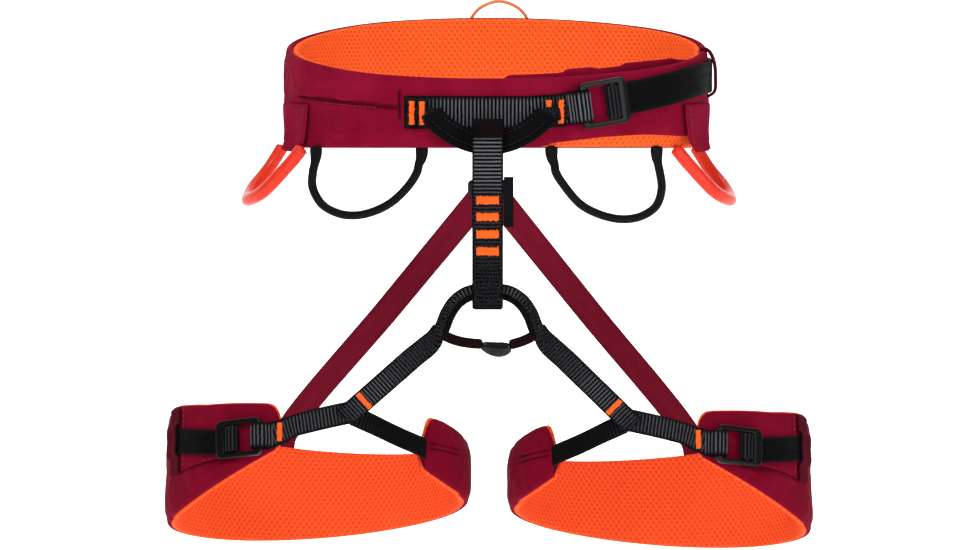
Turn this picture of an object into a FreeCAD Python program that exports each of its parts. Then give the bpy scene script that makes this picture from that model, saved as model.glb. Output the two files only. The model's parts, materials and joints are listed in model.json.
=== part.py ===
"""Climbing sit harness, worn size S: padded waist belt, two padded leg loops, belay loop, tie-in loops,
gear loops, haul loop, rear risers and three double-back slider buckles.

Row frame: millimetres, +Z up, -Y is the wearer's front, +X is the viewer's right when facing the front.
The origin is the centre of the waist opening, where the wearer's waist holds the harness.
"left" and "right" in names are the viewer's left (-X) and right (+X).
"""
import FreeCAD, Part

import math
import os

import Sketcher

from FreeCAD import Placement, Rotation, Vector

doc = FreeCAD.newDocument("harness")
sheet = doc.addObject("Spreadsheet::Sheet", "dims")

# alias, value, meaning (millimetres and degrees, slopes are rise over run)
DIMENSIONS = [
    ("waist_half_width", 131, "outer half width of the waist belt"),
    ("waist_half_depth", 95, "outer half depth of the waist belt"),
    ("waist_top", 31, "height of the top edge over the origin"),
    ("waist_top_slope", 0.17, "top edge rises towards the back"),
    ("waist_bottom", 30.5, "depth of the bottom edge under the origin"),
    ("waist_bottom_slope", 0.052, "bottom edge falls towards the back"),
    ("skin", 1.2, "shell and liner fabric thickness"),
    ("waist_foam", 5, "waist foam thickness"),
    ("tape", 0.8, "load tape inside the waist belt"),
    ("leg_foam", 5, "leg foam thickness"),
    ("layer_gap", 0.3, "air left between stacked layers"),
    ("belt_slit_x", 9, "where the belt padding opens at the front"),
    ("belt_slit", 1.2, "width of that slit"),
    ("webbing_width", 19, "waist webbing and strap width"),
    ("webbing", 1.8, "load webbing thickness"),
    ("sleeve_height", 12.2, "upper tie-in loop's sleeve height"),
    ("sleeve_depth", 5.6, "upper tie-in loop's sleeve depth"),
    ("tie_in_y", -108.5, "centre plane of the tie-in loops"),
    ("tie_in_z", -22.4, "centre of the upper tie-in loop"),
    ("belay_width", 18, "belay loop width"),
    ("belay_top", -8.7, "top of the belay loop"),
    ("belay_bottom", -118.7, "bottom of the belay loop"),
    ("belay_gap", 13, "space between the belay loop's two strands"),
    ("belay_thickness", 3.8, "belay loop thickness"),
    ("belay_centre_x", -0.8, "belay loop's sideways position"),
    ("leg_half_width", 93, "outer half width of a leg loop"),
    ("leg_half_depth", 82, "outer half depth of a leg loop"),
    ("leg_x", 104.5, "leg loop centre from the middle"),
    ("leg_z", -228, "leg loop centre height"),
    ("leg_tilt", 18, "leg loops tilt down towards the back"),
    ("leg_top", 24.5, "top edge over the leg loop's centre"),
    ("leg_bottom", 27.3, "bottom edge under the leg loop's centre"),
    ("right_leg_drop", 4.5, "the right leg loop is adjusted this much lower"),
    ("leg_webbing_width", 15, "leg webbing width"),
    ("waist_buckle_length", 31, "waist buckle along the strap"),
    ("waist_buckle_height", 27, "waist buckle across the strap"),
    ("leg_buckle_length", 30, "leg buckle along the strap"),
    ("leg_buckle_height", 23, "leg buckle across the strap"),
    ("buckle_rail", 2.9, "buckle rails along the strap"),
    ("buckle_bar", 4.2, "buckle bar that the webbing is folded round"),
    ("buckle_far_bar", 5.6, "buckle bar at the adjusting strap's end"),
    ("buckle_thickness", 3.2, "buckle frame thickness"),
    ("buckle_lift", 2.8, "buckle frame over the belt's outer face"),
    ("slider_width", 3.2, "buckle slider along the strap"),
    ("slider_thickness", 2.6, "buckle slider thickness"),
    ("strap", 1.0, "smooth adjusting strap thickness"),
    ("front_gear_rod", 5, "front gear loop rod diameter"),
    ("rear_gear_rod", 8, "rear gear loop rod diameter"),
    ("haul_cord", 2.2, "haul loop cord diameter"),
    ("riser_width", 19, "elastic riser width"),
    ("riser", 1.3, "elastic riser thickness"),
    ("yoke_width", 27, "riser yoke width"),
    ("yoke_height", 11, "riser yoke height"),
    ("yoke_thickness", 2.6, "riser yoke thickness"),
    ("hook_length", 18.6, "retainer hook length"),
    ("hook_height", 7.4, "retainer hook height"),
    ("hook_thickness", 4.4, "retainer hook thickness"),
]
for row, (alias, value, meaning) in enumerate(DIMENSIONS, start=1):
    sheet.set(f"A{row}", meaning)
    sheet.set(f"B{row}", str(value))
    sheet.setAlias(f"B{row}", alias)
doc.recompute()

D = {alias: float(sheet.get(alias)) for alias, _, _ in DIMENSIONS}
TALL = 160.0  # helper solids are this tall, past every pad
sub_parts = []


# ---------------------------------------------------------------- helpers
def keep(obj, label):
    """Marks a document object as a finished sub-part."""
    obj.Label = label
    sub_parts.append(obj)
    return obj


def feature(label, shape):
    """A sub-part whose shape is made with Part's own functions."""
    obj = doc.addObject("Part::Feature", label)
    obj.Shape = shape
    return keep(obj, label)


def frame_placement(origin, along, across):
    """Placement whose X runs along and whose Z is along x across."""
    x = Vector(along).normalize()
    z = x.cross(Vector(across)).normalize()
    y = z.cross(x)
    matrix = FreeCAD.Matrix(x.x, y.x, z.x, origin.x, x.y, y.y, z.y, origin.y,
                            x.z, y.z, z.z, origin.z, 0, 0, 0, 1)
    return Placement(matrix)


def ribbon(points, across, width, thickness):
    """A flat strap through points; across gives the width direction, one for all or one each."""
    if isinstance(across, Vector):
        across = [across] * len(points)
    wires = []
    for i, point in enumerate(points):
        before, after = points[max(i - 1, 0)], points[min(i + 1, len(points) - 1)]
        along = (after - before).normalize()
        out = along.cross(across[i]).normalize()
        side = out.cross(along).normalize()
        corners = [point + side * (width / 2 * a) + out * (thickness / 2 * b)
                   for a, b in ((1, 1), (-1, 1), (-1, -1), (1, -1))]
        wires.append(Part.makePolygon(corners + corners[:1]))
    return Part.makeLoft(wires, True, True)


def tube_ribbon(points, across, width, thickness, wall):
    """A flat sleeve: a strap with a smaller strap taken out of it from end to end."""
    first = points[0] + (points[0] - points[1]) * 0.2
    last = points[-1] + (points[-1] - points[-2]) * 0.2
    longer = [first] + list(points) + [last]
    across_longer = [across[0]] + list(across) + [across[-1]]
    core = ribbon(longer, across_longer, width - 2 * wall, thickness - 2 * wall)
    return ribbon(points, across, width, thickness).cut(core)


def rounded_path(points, bend):
    """A wire of straight runs joined by tangent arcs, as large as the runs allow up to radius bend."""
    edges = []
    start = points[0]
    for before, corner, after in zip(points, points[1:], points[2:]):
        back, ahead = before - corner, after - corner
        half_turn = (math.pi - back.getAngle(ahead)) / 2
        trimmed = min(bend * math.tan(half_turn), 0.45 * back.Length, 0.45 * ahead.Length)
        radius = trimmed / math.tan(half_turn)
        first = corner + back.normalize() * trimmed
        last = corner + ahead.normalize() * trimmed
        inwards = ((first + last) * 0.5 - corner).normalize()
        middle = corner + inwards * (math.hypot(radius, trimmed) - radius)
        edges.append(Part.LineSegment(start, first).toShape())
        edges.append(Part.Arc(first, middle, last).toShape())
        start = last
    edges.append(Part.LineSegment(start, points[-1]).toShape())
    return Part.Wire(edges)


def rod(points, diameter, bend):
    """A round rod along a rounded path."""
    circle = Part.makeCircle(diameter / 2, points[0], points[1] - points[0])
    return rounded_path(points, bend).makePipeShell([Part.Wire(circle)], True, True)


def cut(name, base, tool):
    made = doc.addObject("Part::Cut", name)
    made.Base, made.Tool = base, tool
    return made


def common(name, base, tool):
    made = doc.addObject("Part::Common", name)
    made.Base, made.Tool = base, tool
    return made


def half_space(name, height, slope_x, slope_y, above):
    """A big box above or below the plane z = height + slope_x x + slope_y y."""
    box = doc.addObject("Part::Box", name)
    box.Length = box.Width = 3 * TALL
    box.Height = TALL
    x_axis = Vector(1, 0, slope_x).normalize()
    normal = x_axis.cross(Vector(0, 1, slope_y)).normalize()
    y_axis = normal.cross(x_axis)
    low = Vector(0, 0, height) - (x_axis + y_axis) * (1.5 * TALL)
    low = low if above else low - normal * TALL
    matrix = FreeCAD.Matrix(x_axis.x, y_axis.x, normal.x, low.x, x_axis.y, y_axis.y, normal.y, low.y,
                            x_axis.z, y_axis.z, normal.z, low.z, 0, 0, 0, 1)
    box.Placement = Placement(matrix)
    return box


def block(name, low, high, placement=None):
    """A box between two corners, optionally moved."""
    box = doc.addObject("Part::Box", name)
    box.Length, box.Width, box.Height = high.x - low.x, high.y - low.y, high.z - low.z
    box.Placement = (placement or Placement()).multiply(Placement(low, Rotation()))
    return box


# ---------------------------------------------------------------- places beside the padded rings
class Ring:
    """The outer face of a padded ring. A place beside it is an angle, a distance out and a height.

    The angle is in degrees, 0 at the ring's outer side and -90 at its front; side mirrors it.
    """

    def __init__(self, half_width, half_depth, placement, side):
        self.a, self.b = half_width, half_depth
        self.placement, self.side = placement, side

    def place(self, angle, out=0.0, height=0.0):
        turn = math.radians(angle)
        normal = Vector(math.cos(turn) / self.a, math.sin(turn) / self.b, 0).normalize()
        local = Vector(self.a * math.cos(turn), self.b * math.sin(turn), height) + normal * out
        return self.placement.multVec(Vector(self.side * local.x, local.y, local.z))

    def angle_at(self, across, front=True):
        """The angle at a distance from the ring's middle towards its outer side."""
        angle = math.degrees(math.acos(across / self.a))
        return -angle if front else angle

    def degrees_per_mm(self, angle):
        turn = math.radians(angle)
        return math.degrees(1 / math.hypot(self.a * math.sin(turn), self.b * math.cos(turn)))

    def up(self):
        return self.placement.Rotation.multVec(Vector(0, 0, 1))

    def frame(self, angle, out, height, roll):
        """X towards the ring's outer side, Z away from the belt; roll lifts the X end."""
        step = self.degrees_per_mm(angle)
        rise = math.tan(math.radians(roll))
        along = self.place(angle + step, out, height + rise) - self.place(angle - step, out, height - rise)
        return frame_placement(self.place(angle, out, height), along, self.up() * self.side)

    def points(self, spots):
        return [self.place(*spot) for spot in spots]

    def band(self, spots, width, thickness):
        """A strap through spots, each an (angle, out, height)."""
        return ribbon(self.points(spots), self.up(), width, thickness)


def plate(base, size, at=(0, 0, 0)):
    """A thin box on a frame: size along, across and out, standing on the point at."""
    box = Part.makeBox(*size)
    box.translate(Vector(at[0] - size[0] / 2, at[1] - size[1] / 2, at[2]))
    box.Placement = base.multiply(box.Placement)
    return box


def leg_placement(side):
    """Local X is sideways, Z along the thigh; the ring tilts down towards the back."""
    drop = D["right_leg_drop"] if side > 0 else 0
    centre = Vector(side * D["leg_x"], 0, D["leg_z"] - drop)
    return Placement(centre, Rotation(Vector(1, 0, 0), -D["leg_tilt"]))


WAIST = Ring(D["waist_half_width"], D["waist_half_depth"], Placement(), 1)
LEGS = {side: Ring(D["leg_half_width"], D["leg_half_depth"], leg_placement(side), side) for side in (-1, 1)}
WORDS = {-1: "left", 1: "right"}


# ---------------------------------------------------------------- padded rings
def ellipse_solid(name, half_width, half_depth, inset):
    """A tall elliptical cylinder whose radii are bound to the sheet."""
    ellipse = doc.addObject("Part::Ellipse", name + "_ellipse")
    ellipse.setExpression("MajorRadius", f"dims.{half_width} - ({inset})")
    ellipse.setExpression("MinorRadius", f"dims.{half_depth} - ({inset})")
    tall = doc.addObject("Part::Extrusion", name + "_tall")
    tall.Base = ellipse
    tall.Dir = Vector(0, 0, 1)
    tall.LengthFwd = TALL / 2
    tall.LengthRev = TALL / 2
    tall.Solid = True
    return tall


def ring_layer(name, sizes, insets, cutters):
    """One layer of a padded ring between two insets, trimmed by the cutters."""
    outer = ellipse_solid(name + "_outer", *sizes, insets[0])
    inner = ellipse_solid(name + "_inner", *sizes, insets[1])
    shape = cut(name + "_wall", outer, inner)
    for i, tool in enumerate(cutters):
        shape = cut(f"{name}_trim{i}", shape, tool)
    return shape


WAIST_SIZES = ("waist_half_width", "waist_half_depth")
LEG_SIZES = ("leg_half_width", "leg_half_depth")
TAPE_FROM = "dims.skin + dims.layer_gap"
FOAM_FROM = "dims.skin + 2 * dims.layer_gap + dims.tape"
WAIST_LINER_FROM = "dims.skin + 3 * dims.layer_gap + dims.tape + dims.waist_foam"
TONGUE_FROM = "2 * dims.skin + 4 * dims.layer_gap + dims.tape + dims.waist_foam"
LEG_LINER_FROM = "dims.skin + 2 * dims.layer_gap + dims.leg_foam"
TONGUE = 3.0  # closure tongue thickness
TONGUE_RISE = 2.5  # the tongue stands this much over the belt's top edge
TONGUE_END_Y = -34.0  # it ends where the belt turns to the side
TAPE_SLOPE = 0.06  # the load tape climbs towards the back
TAPE_MIDDLE = 0.5
TAPE_GAP = (-49.0, 53.0)  # the tape comes out of the shell between these positions at the front


def waist_padding():
    """Shell, foam, liner and inner load tape of the belt, and the tongue behind its front slit."""
    slit = D["belt_slit_x"]
    slit_block = block("waist_slit", Vector(slit, -TALL, -TALL), Vector(slit + D["belt_slit"], 0, TALL))
    above = half_space("waist_above", D["waist_top"], 0, D["waist_top_slope"], True)
    below = half_space("waist_below", -D["waist_bottom"], 0, -D["waist_bottom_slope"], False)
    cutters = [above, below, slit_block]
    layers = (
        ("waist_shell", "0", "dims.skin"),
        ("waist_foam", FOAM_FROM, FOAM_FROM + " + dims.waist_foam"),
        ("waist_liner", WAIST_LINER_FROM, WAIST_LINER_FROM + " + dims.skin"),
    )
    for name, outer, inner in layers:
        keep(ring_layer(name, WAIST_SIZES, (outer, inner), cutters), name)
    half = D["webbing_width"] / 2
    tape_cutters = [
        half_space("tape_above", TAPE_MIDDLE + half, 0, TAPE_SLOPE, True),
        half_space("tape_below", TAPE_MIDDLE - half, 0, TAPE_SLOPE, False),
        block("tape_gap", Vector(TAPE_GAP[0], -TALL, -TALL), Vector(TAPE_GAP[1], 0, TALL)),
    ]
    tape_insets = (TAPE_FROM, TAPE_FROM + " + dims.tape")
    keep(ring_layer("waist_load_tape", WAIST_SIZES, tape_insets, tape_cutters), "waist_load_tape")
    tongue_top = half_space("tongue_above", D["waist_top"] + TONGUE_RISE, 0, D["waist_top_slope"], True)
    tongue_insets = (TONGUE_FROM, f"{TONGUE_FROM} + {TONGUE}")
    tongue = ring_layer("tongue", WAIST_SIZES, tongue_insets, [tongue_top, below])
    window = block("tongue_window", Vector(slit, -TALL, -TALL), Vector(TALL, TONGUE_END_Y, TALL))
    keep(common("waist_tongue", tongue, window), "waist_tongue")


LEG_TOP_SLOPE = 0.08  # the outer side stands higher
LEG_BOTTOM_SLOPES = (0.078, 0.03)  # and the outer side and the back reach lower
LEG_GAP = (-67.5, 18.5)  # the pad is open between these outward positions at the front
LEG_FRONT_Y = -20.0  # the front's shape is cut only on this side of the leg loop's middle
OUTER_CORNER = (0.0, 26.0, 8.0, 92.0)  # the cut's height at the gap, its slope angle and its sideways reach
INNER_CORNER = (-11.0, 22.0, -93.0, -40.0)


def leg_padding(side):
    """Shell, foam and liner of one leg loop, open at the front with a corner cut off each end."""
    word = WORDS[side]
    gap_low, gap_high = sorted((side * LEG_GAP[0], side * LEG_GAP[1]))
    cutters = [
        half_space(f"{word}_above", D["leg_top"], side * LEG_TOP_SLOPE, 0, True),
        half_space(f"{word}_below", -D["leg_bottom"], -side * LEG_BOTTOM_SLOPES[0],
                   -LEG_BOTTOM_SLOPES[1], False),
        block(f"{word}_gap", Vector(gap_low, -TALL, -TALL), Vector(gap_high, LEG_FRONT_Y, TALL)),
        corner_cut(f"{word}_corner", side, LEG_GAP[1], 1, OUTER_CORNER),
        corner_cut(f"{word}_tip", side, LEG_GAP[0], -1, INNER_CORNER),
    ]
    foam_from = "dims.skin + dims.layer_gap"
    layers = (
        ("shell", "0", "dims.skin"),
        ("foam", foam_from, foam_from + " + dims.leg_foam"),
        ("liner", LEG_LINER_FROM, LEG_LINER_FROM + " + dims.skin"),
    )
    for layer, outer, inner in layers:
        name = f"{word}_leg_{layer}"
        made = ring_layer(name, LEG_SIZES, (outer, inner), cutters)
        made.Placement = leg_placement(side)
        keep(made, name)


def corner_cut(name, side, end_x, falls, corner):
    """Everything under a slope that starts at a pad's end; falls is 1 where it falls outwards."""
    height, angle, *reach = corner
    slope = Placement(Vector(side * end_x, 0, height), Rotation(Vector(0, 1, 0), falls * side * angle))
    under = block(name + "_under", Vector(-TALL, -TALL, -TALL), Vector(TALL, LEG_FRONT_Y, 0), slope)
    low, high = sorted(side * x for x in reach)
    window = block(name + "_window", Vector(low, -TALL, -TALL), Vector(high, LEG_FRONT_Y, TALL))
    return common(name, under, window)


# ---------------------------------------------------------------- sketched bodies
def origin_plane(body, role):
    return next(f for f in body.Origin.OriginFeatures if f.Role == role)


def rectangle_sketch(body, name, plane, width, height):
    """A rectangle centred on the body's origin; width and height are expressions."""
    sketch = body.newObject("Sketcher::SketchObject", name)
    sketch.AttachmentSupport = [(origin_plane(body, plane), "")]
    sketch.MapMode = "FlatFace"
    corners = [Vector(-5, -5, 0), Vector(5, -5, 0), Vector(5, 5, 0), Vector(-5, 5, 0)]
    for start, end in zip(corners, corners[1:] + corners[:1]):
        sketch.addGeometry(Part.LineSegment(start, end))
    for line in range(4):
        sketch.addConstraint(Sketcher.Constraint("Coincident", line, 2, (line + 1) % 4, 1))
        sketch.addConstraint(Sketcher.Constraint("Vertical" if line % 2 else "Horizontal", line))
    sketch.addConstraint(Sketcher.Constraint("Symmetric", 0, 1, 1, 2, -1, 1))
    across = sketch.addConstraint(Sketcher.Constraint("DistanceX", 0, 1, 0, 2, 10))
    tall = sketch.addConstraint(Sketcher.Constraint("DistanceY", 1, 1, 1, 2, 10))
    sketch.setExpression(f"Constraints[{across}]", width)
    sketch.setExpression(f"Constraints[{tall}]", height)
    return sketch


def stadium_sketch(body, name, plane, radius, spacing):
    """Two half circles joined by straight sides, upright; radius and spacing are expressions."""
    sketch = body.newObject("Sketcher::SketchObject", name)
    sketch.AttachmentSupport = [(origin_plane(body, plane), "")]
    sketch.MapMode = "FlatFace"
    top, bottom = Vector(0, 40, 0), Vector(0, -40, 0)
    axis = Vector(0, 0, 1)
    sketch.addGeometry(Part.LineSegment(Vector(-10, -40, 0), Vector(-10, 40, 0)))
    sketch.addGeometry(Part.ArcOfCircle(Part.Circle(top, axis, 10), 0, math.pi))
    sketch.addGeometry(Part.LineSegment(Vector(10, 40, 0), Vector(10, -40, 0)))
    sketch.addGeometry(Part.ArcOfCircle(Part.Circle(bottom, axis, 10), math.pi, 2 * math.pi))
    for joint in ((0, 2, 1, 2), (1, 1, 2, 1), (2, 2, 3, 2), (3, 1, 0, 1)):
        sketch.addConstraint(Sketcher.Constraint("Tangent", *joint))
    sketch.addConstraint(Sketcher.Constraint("Symmetric", 1, 3, 3, 3, -1, 1))
    sketch.addConstraint(Sketcher.Constraint("Vertical", 0))
    sketch.addConstraint(Sketcher.Constraint("Vertical", 2))
    size = sketch.addConstraint(Sketcher.Constraint("Radius", 1, 10))
    apart = sketch.addConstraint(Sketcher.Constraint("DistanceY", 3, 3, 1, 3, 80))
    sketch.setExpression(f"Constraints[{size}]", radius)
    sketch.setExpression(f"Constraints[{apart}]", spacing)
    return sketch


def pad(body, sketch, name, length, midplane=False):
    made = body.newObject("PartDesign::Pad", name)
    made.Profile = sketch
    made.setExpression("Length", length)
    made.Midplane = midplane
    doc.recompute()
    return made


def pocket_through(body, sketch, name):
    """Cuts the sketch through everything, both ways, and checks that it removed something."""
    before = body.Shape.Volume
    made = body.newObject("PartDesign::Pocket", name)
    made.Profile = sketch
    made.Type = "ThroughAll"
    made.Midplane = True
    doc.recompute()
    if not body.Shape.Volume < before - 1:
        raise RuntimeError(name + " removed nothing")
    return made


def upright_edges(shape):
    """Names of the straight edges along the body's own Z."""
    names = []
    for i, edge in enumerate(shape.Edges, start=1):
        ends = [v.Point for v in edge.Vertexes]
        if len(ends) == 2 and math.hypot(ends[0].x - ends[1].x, ends[0].y - ends[1].y) < 1e-6:
            names.append(f"Edge{i}")
    return names


def fillet(body, base, names, radius):
    made = body.newObject("PartDesign::Fillet", body.Name + "_fillet")
    made.Base = (base, names)
    made.Radius = radius
    doc.recompute()
    return made


def buckle_frame(label, size, placement):
    """A rounded rectangular frame; size names the sheet's length and height."""
    body = doc.addObject("PartDesign::Body", label)
    outline = rectangle_sketch(body, label + "_outline", "XY_Plane", f"dims.{size}_length",
                               f"dims.{size}_height")
    solid = pad(body, outline, label + "_pad", "dims.buckle_thickness")
    rounded = fillet(body, solid, upright_edges(solid.Shape), CORNER)
    window = rectangle_sketch(body, label + "_window", "XY_Plane",
                              f"dims.{size}_length - dims.buckle_bar - dims.buckle_far_bar",
                              f"dims.{size}_height - 2 * dims.buckle_rail")
    window.setExpression("AttachmentOffset.Base.x", "(dims.buckle_bar - dims.buckle_far_bar) / 2")
    pocket_through(body, window, label + "_opening")
    body.Placement = placement
    return keep(body, label)


def buckle_slider(label, size, placement):
    """The cross bar that the adjusting strap wraps, between the frame's rails."""
    body = doc.addObject("PartDesign::Body", label)
    outline = rectangle_sketch(body, label + "_outline", "XY_Plane", "dims.slider_width",
                               f"dims.{size}_height - 2 * dims.buckle_rail - 2 * dims.layer_gap")
    solid = pad(body, outline, label + "_pad", "dims.slider_thickness")
    fillet(body, solid, upright_edges(solid.Shape), SLIDER_CORNER)
    body.Placement = placement
    return keep(body, label)


CORNER = 4.0  # buckle frame corner radius
SLIDER_CORNER = 1.0


# ---------------------------------------------------------------- double-back buckles
def fold_steps(bar, webbing):
    """Webbing that passes under the fixed bar, round it and back over itself."""
    low = D["layer_gap"] + webbing / 2
    return [(bar - 4, low), (bar + 1.8, low), (bar + 4.0, 2.2), (bar + 4.6, 4.9), (bar + 4.1, 7.3),
            (bar + 2.0, 8.2), (bar - 2.2, 8.0), (bar - 4.5, 5.6), (bar - 6, 4.2), (bar - 7.4, 3.6)]


def wrap_steps(slider):
    """A smooth strap that comes in under the slider, wraps it and leaves on top of itself."""
    low = D["layer_gap"] + D["strap"] / 2
    second = low + D["strap"] + 0.2
    return [(slider + 12, low), (slider, low), (slider - 2.4, 1.3), (slider - 3.7, 2.8), (slider - 3.9, 4.7),
            (slider - 3.3, 6.5), (slider - 1.5, 7.2), (slider + 1.2, 7.2), (slider + 2.6, 6.4),
            (slider + 2.9, 4.6), (slider + 3.3, 3.1), (slider + 5.2, second + 0.1), (slider + 12, second)]


class Buckle:
    """Where a buckle sits on its ring, and how far its bar and slider are from its middle."""

    def __init__(self, ring, size, angle, height, roll, slider):
        self.ring, self.size = ring, size
        self.angle, self.height, self.roll = angle, height, roll
        self.slider = slider
        self.bar = -(D[size + "_length"] - D["buckle_bar"]) / 2
        self.frame = ring.frame(angle, D["buckle_lift"], height, roll)

    def make(self, prefix):
        buckle_frame(prefix + "_frame", self.size, self.frame)
        rise = (D["buckle_thickness"] - D["slider_thickness"]) / 2
        at_slider = self.frame.multiply(Placement(Vector(self.slider, 0, rise), Rotation()))
        buckle_slider(prefix + "_slider", self.size, at_slider)
        print(prefix + " slider axis", self.frame.Rotation.multVec(Vector(-1, 0, 0)))

    def strap(self, before, steps, after, width, thickness):
        """A strap through spots, then steps of (distance along, distance out) at the buckle, then spots."""
        step = self.ring.degrees_per_mm(self.angle)
        rise = math.tan(math.radians(self.roll))
        near = [(self.angle + s * step, out, self.height + s * rise) for s, out in steps]
        rolled = self.frame.Rotation.multVec(Vector(0, self.ring.side, 0))
        up = self.ring.up()
        across = [up] * len(before) + [rolled] * len(near) + [up] * len(after)
        points = list(before) + self.ring.points(near) + list(after)
        return ribbon(points, across, width, thickness)


# ======================================================================== sub-parts

WEBBING_LOW = D["layer_gap"] + D["webbing"] / 2
STRAP_LOW = D["layer_gap"] + D["strap"] / 2
STRAP_HIGH = STRAP_LOW + D["strap"] + 0.2
TACK = 0.7  # bar tack thickness
TACK_WIDTH = 3.2
WAIST_TACK_HEIGHT = 13.5
LEG_TACK_HEIGHT = 11.0
FACE_GAP = 0.05  # a bar tack stands this clear of the webbing it sews

WAIST_BUCKLE = Buckle(WAIST, "waist_buckle", -60, 0.3, 8.5, 5.8)
LEG_BUCKLES = {side: Buckle(ring, "leg_buckle", -63.3, 5.6, -2, 5.2) for side, ring in LEGS.items()}
WAIST_LEFT = Ring(D["waist_half_width"], D["waist_half_depth"], Placement(), -1)
WAIST_SIDES = {-1: WAIST_LEFT, 1: WAIST}

# ---------------------------------------------------------------- waist webbing and tie-in loop
LINE = [(-112, -5), (-80, -5), (-71, -3.7), (-60, 0.3), (-46, 4.8), (-25, 11.6), (-10, 13.2), (0, 14),
        (24, 16)]  # angle and height of the waist webbing's middle


def line_height(angle):
    """Height of the waist webbing's middle at a belt angle."""
    for (a, low), (b, high) in zip(LINE, LINE[1:]):
        if a <= angle <= b:
            return low + (high - low) * (angle - a) / (b - a)
    raise ValueError(angle)


def spots(angles, out):
    return [(angle, out, line_height(angle)) for angle in angles]


def waist_webbing():
    front = spots((-112, -107, -102, -97, -92, -87, -82, -77, -72), WEBBING_LOW)
    fold = fold_steps(WAIST_BUCKLE.bar, D["webbing"])
    webbing = WAIST_BUCKLE.strap(WAIST.points(front), fold, [], D["webbing_width"], D["webbing"])
    feature("waist_webbing", webbing)


def waist_strap():
    angles = (-46, -40, -34, -28, -22, -16, -10, -5, 0, 5, 10, 15, 20)
    under = WAIST.points(spots(angles[::-1], STRAP_LOW))
    over = WAIST.points(spots(angles[:-1], STRAP_HIGH))
    wrap = wrap_steps(WAIST_BUCKLE.slider)
    feature("waist_strap", WAIST_BUCKLE.strap(under, wrap, over, D["webbing_width"], D["strap"]))


WAIST_KEEPER = (-7, -1, 15, 29)  # angles from and to, height of the middle, width
LEG_KEEPER = (-31, -24, 11, 40)


def keeper(label, ring, angle_from, angle_to, height, width):
    """A cloth band that holds the strap's free end."""
    out = STRAP_HIGH + D["strap"] / 2 + D["layer_gap"] + 0.5
    steps = [angle_from + (angle_to - angle_from) * i / 2 for i in range(3)]
    feature(label, ring.band([(angle, out, height) for angle in steps], width, 1.0))


TIE_IN = Vector(0, D["tie_in_y"], D["tie_in_z"])
TIE_IN_UP = Vector(0, 7.5, 13.5).normalize()  # the loop's plane leans back to the belt
TIE_IN_RADIUS = 49.7
TIE_IN_HALF_ANGLE = 43
TIE_IN_ENDS = ((-46.5, 0), (-42, 0.2), (42, 0.2), (44.9, 0))  # on the waist webbing: x, extra distance out


def tie_in_arc(half_angle, count):
    """Points of the upper tie-in loop and its width direction at each."""
    centre = TIE_IN + TIE_IN_UP * TIE_IN_RADIUS
    points, across = [], []
    for i in range(count):
        turn = math.radians(half_angle * (2 * i / (count - 1) - 1))
        radial = Vector(math.sin(turn), 0, 0) - TIE_IN_UP * math.cos(turn)
        points.append(centre + radial * TIE_IN_RADIUS)
        across.append(radial * -1)
    return points, across


def tie_in_loop():
    wall = 1.1
    height, depth = D["sleeve_height"], D["sleeve_depth"]
    points, across = tie_in_arc(TIE_IN_HALF_ANGLE - 2, 15)
    feature("tie_in_sleeve", tube_ribbon(points, across, height, depth, wall))
    core_height = height - 2 * wall - 2 * D["layer_gap"]
    core_depth = depth - 2 * wall - 2 * D["layer_gap"]
    seat = WEBBING_LOW + D["webbing"] / 2 + D["layer_gap"] + core_depth / 2
    ends = [WAIST.place(WAIST.angle_at(x), seat + more, -5) for x, more in TIE_IN_ENDS]
    points, across = tie_in_arc(TIE_IN_HALF_ANGLE, 15)
    up = Vector(0, 0, 1)
    feature("tie_in_webbing", ribbon(ends[:2] + points + ends[2:], [up] * 2 + across + [up] * 2,
                                     core_height, core_depth))
    tacks = []
    for low, high, facing, clear in ((ends[0], ends[1], up, 0.9), (ends[1], points[0], up, 2.6),
                                     (ends[3], ends[2], up * -1, 0.9), (ends[2], points[-1], up * -1, 2.6)):
        base = frame_placement((low + high) * 0.5, high - low, facing)
        tacks.append(plate(base, (TACK_WIDTH, WAIST_TACK_HEIGHT, TACK), (0, 0, core_depth / 2 + clear)))
    feature("waist_bar_tacks", Part.makeCompound(tacks))


# ---------------------------------------------------------------- gear loops
GEAR_LOOP = [(0, 0), (0, -2), (-0.01, -5), (-0.055, -13.5), (-0.02, -24.5), (0.12, -32), (0.34, -35), (0.6, -31),
             (0.8, -21.5), (0.94, -9.5), (0.99, -4), (1, -2), (1, 0)]  # share of the way to the inner end, and drop
FRONT_GEAR_X = {-1: (105, 40), 1: (101.6, 37.2)}  # outer and inner end, from the middle
TAB = (7.7, 5.6, 1.6)  # width, drop and thickness of a front gear loop's tab
TAB_INSET = 3.5  # the tabs come out of the belt this far behind its face
TAB_CLEARANCE = 1.2  # below the belt's edge, so that a tab can swing up


def waist_bottom(y):
    return -D["waist_bottom"] - D["waist_bottom_slope"] * y


def front_gear_loop(side):
    """A rod loop on two flat tabs; the tabs' top edges are its hinge line."""
    word = WORDS[side]
    ring = WAIST_SIDES[side]
    tops = []
    for x in FRONT_GEAR_X[side]:
        angle = ring.angle_at(x)
        bottom = waist_bottom(ring.place(angle).y)
        tops.append(ring.place(angle, -TAB_INSET, bottom - TAB_CLEARANCE))
    outer, inner = tops
    facing = frame_placement(outer, (outer - inner) * side, Vector(0, 0, side))
    tabs = []
    for top in tops:
        base = Placement(top, facing.Rotation)
        tabs.append(plate(base, TAB, (0, -side * TAB[1] / 2, -TAB[2] / 2)))
    feature(f"front_gear_tabs_{word}", Part.makeCompound(tabs))
    below = Vector(0, 0, -TAB[1] - 2 * D["layer_gap"])
    route = [outer + below + (inner - outer) * share + Vector(0, 0, drop) for share, drop in GEAR_LOOP]
    feature(f"front_gear_loop_{word}", rod(route, D["front_gear_rod"], 30))
    print(f"front_gear_loop_{word} hinge", outer, inner)


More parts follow.
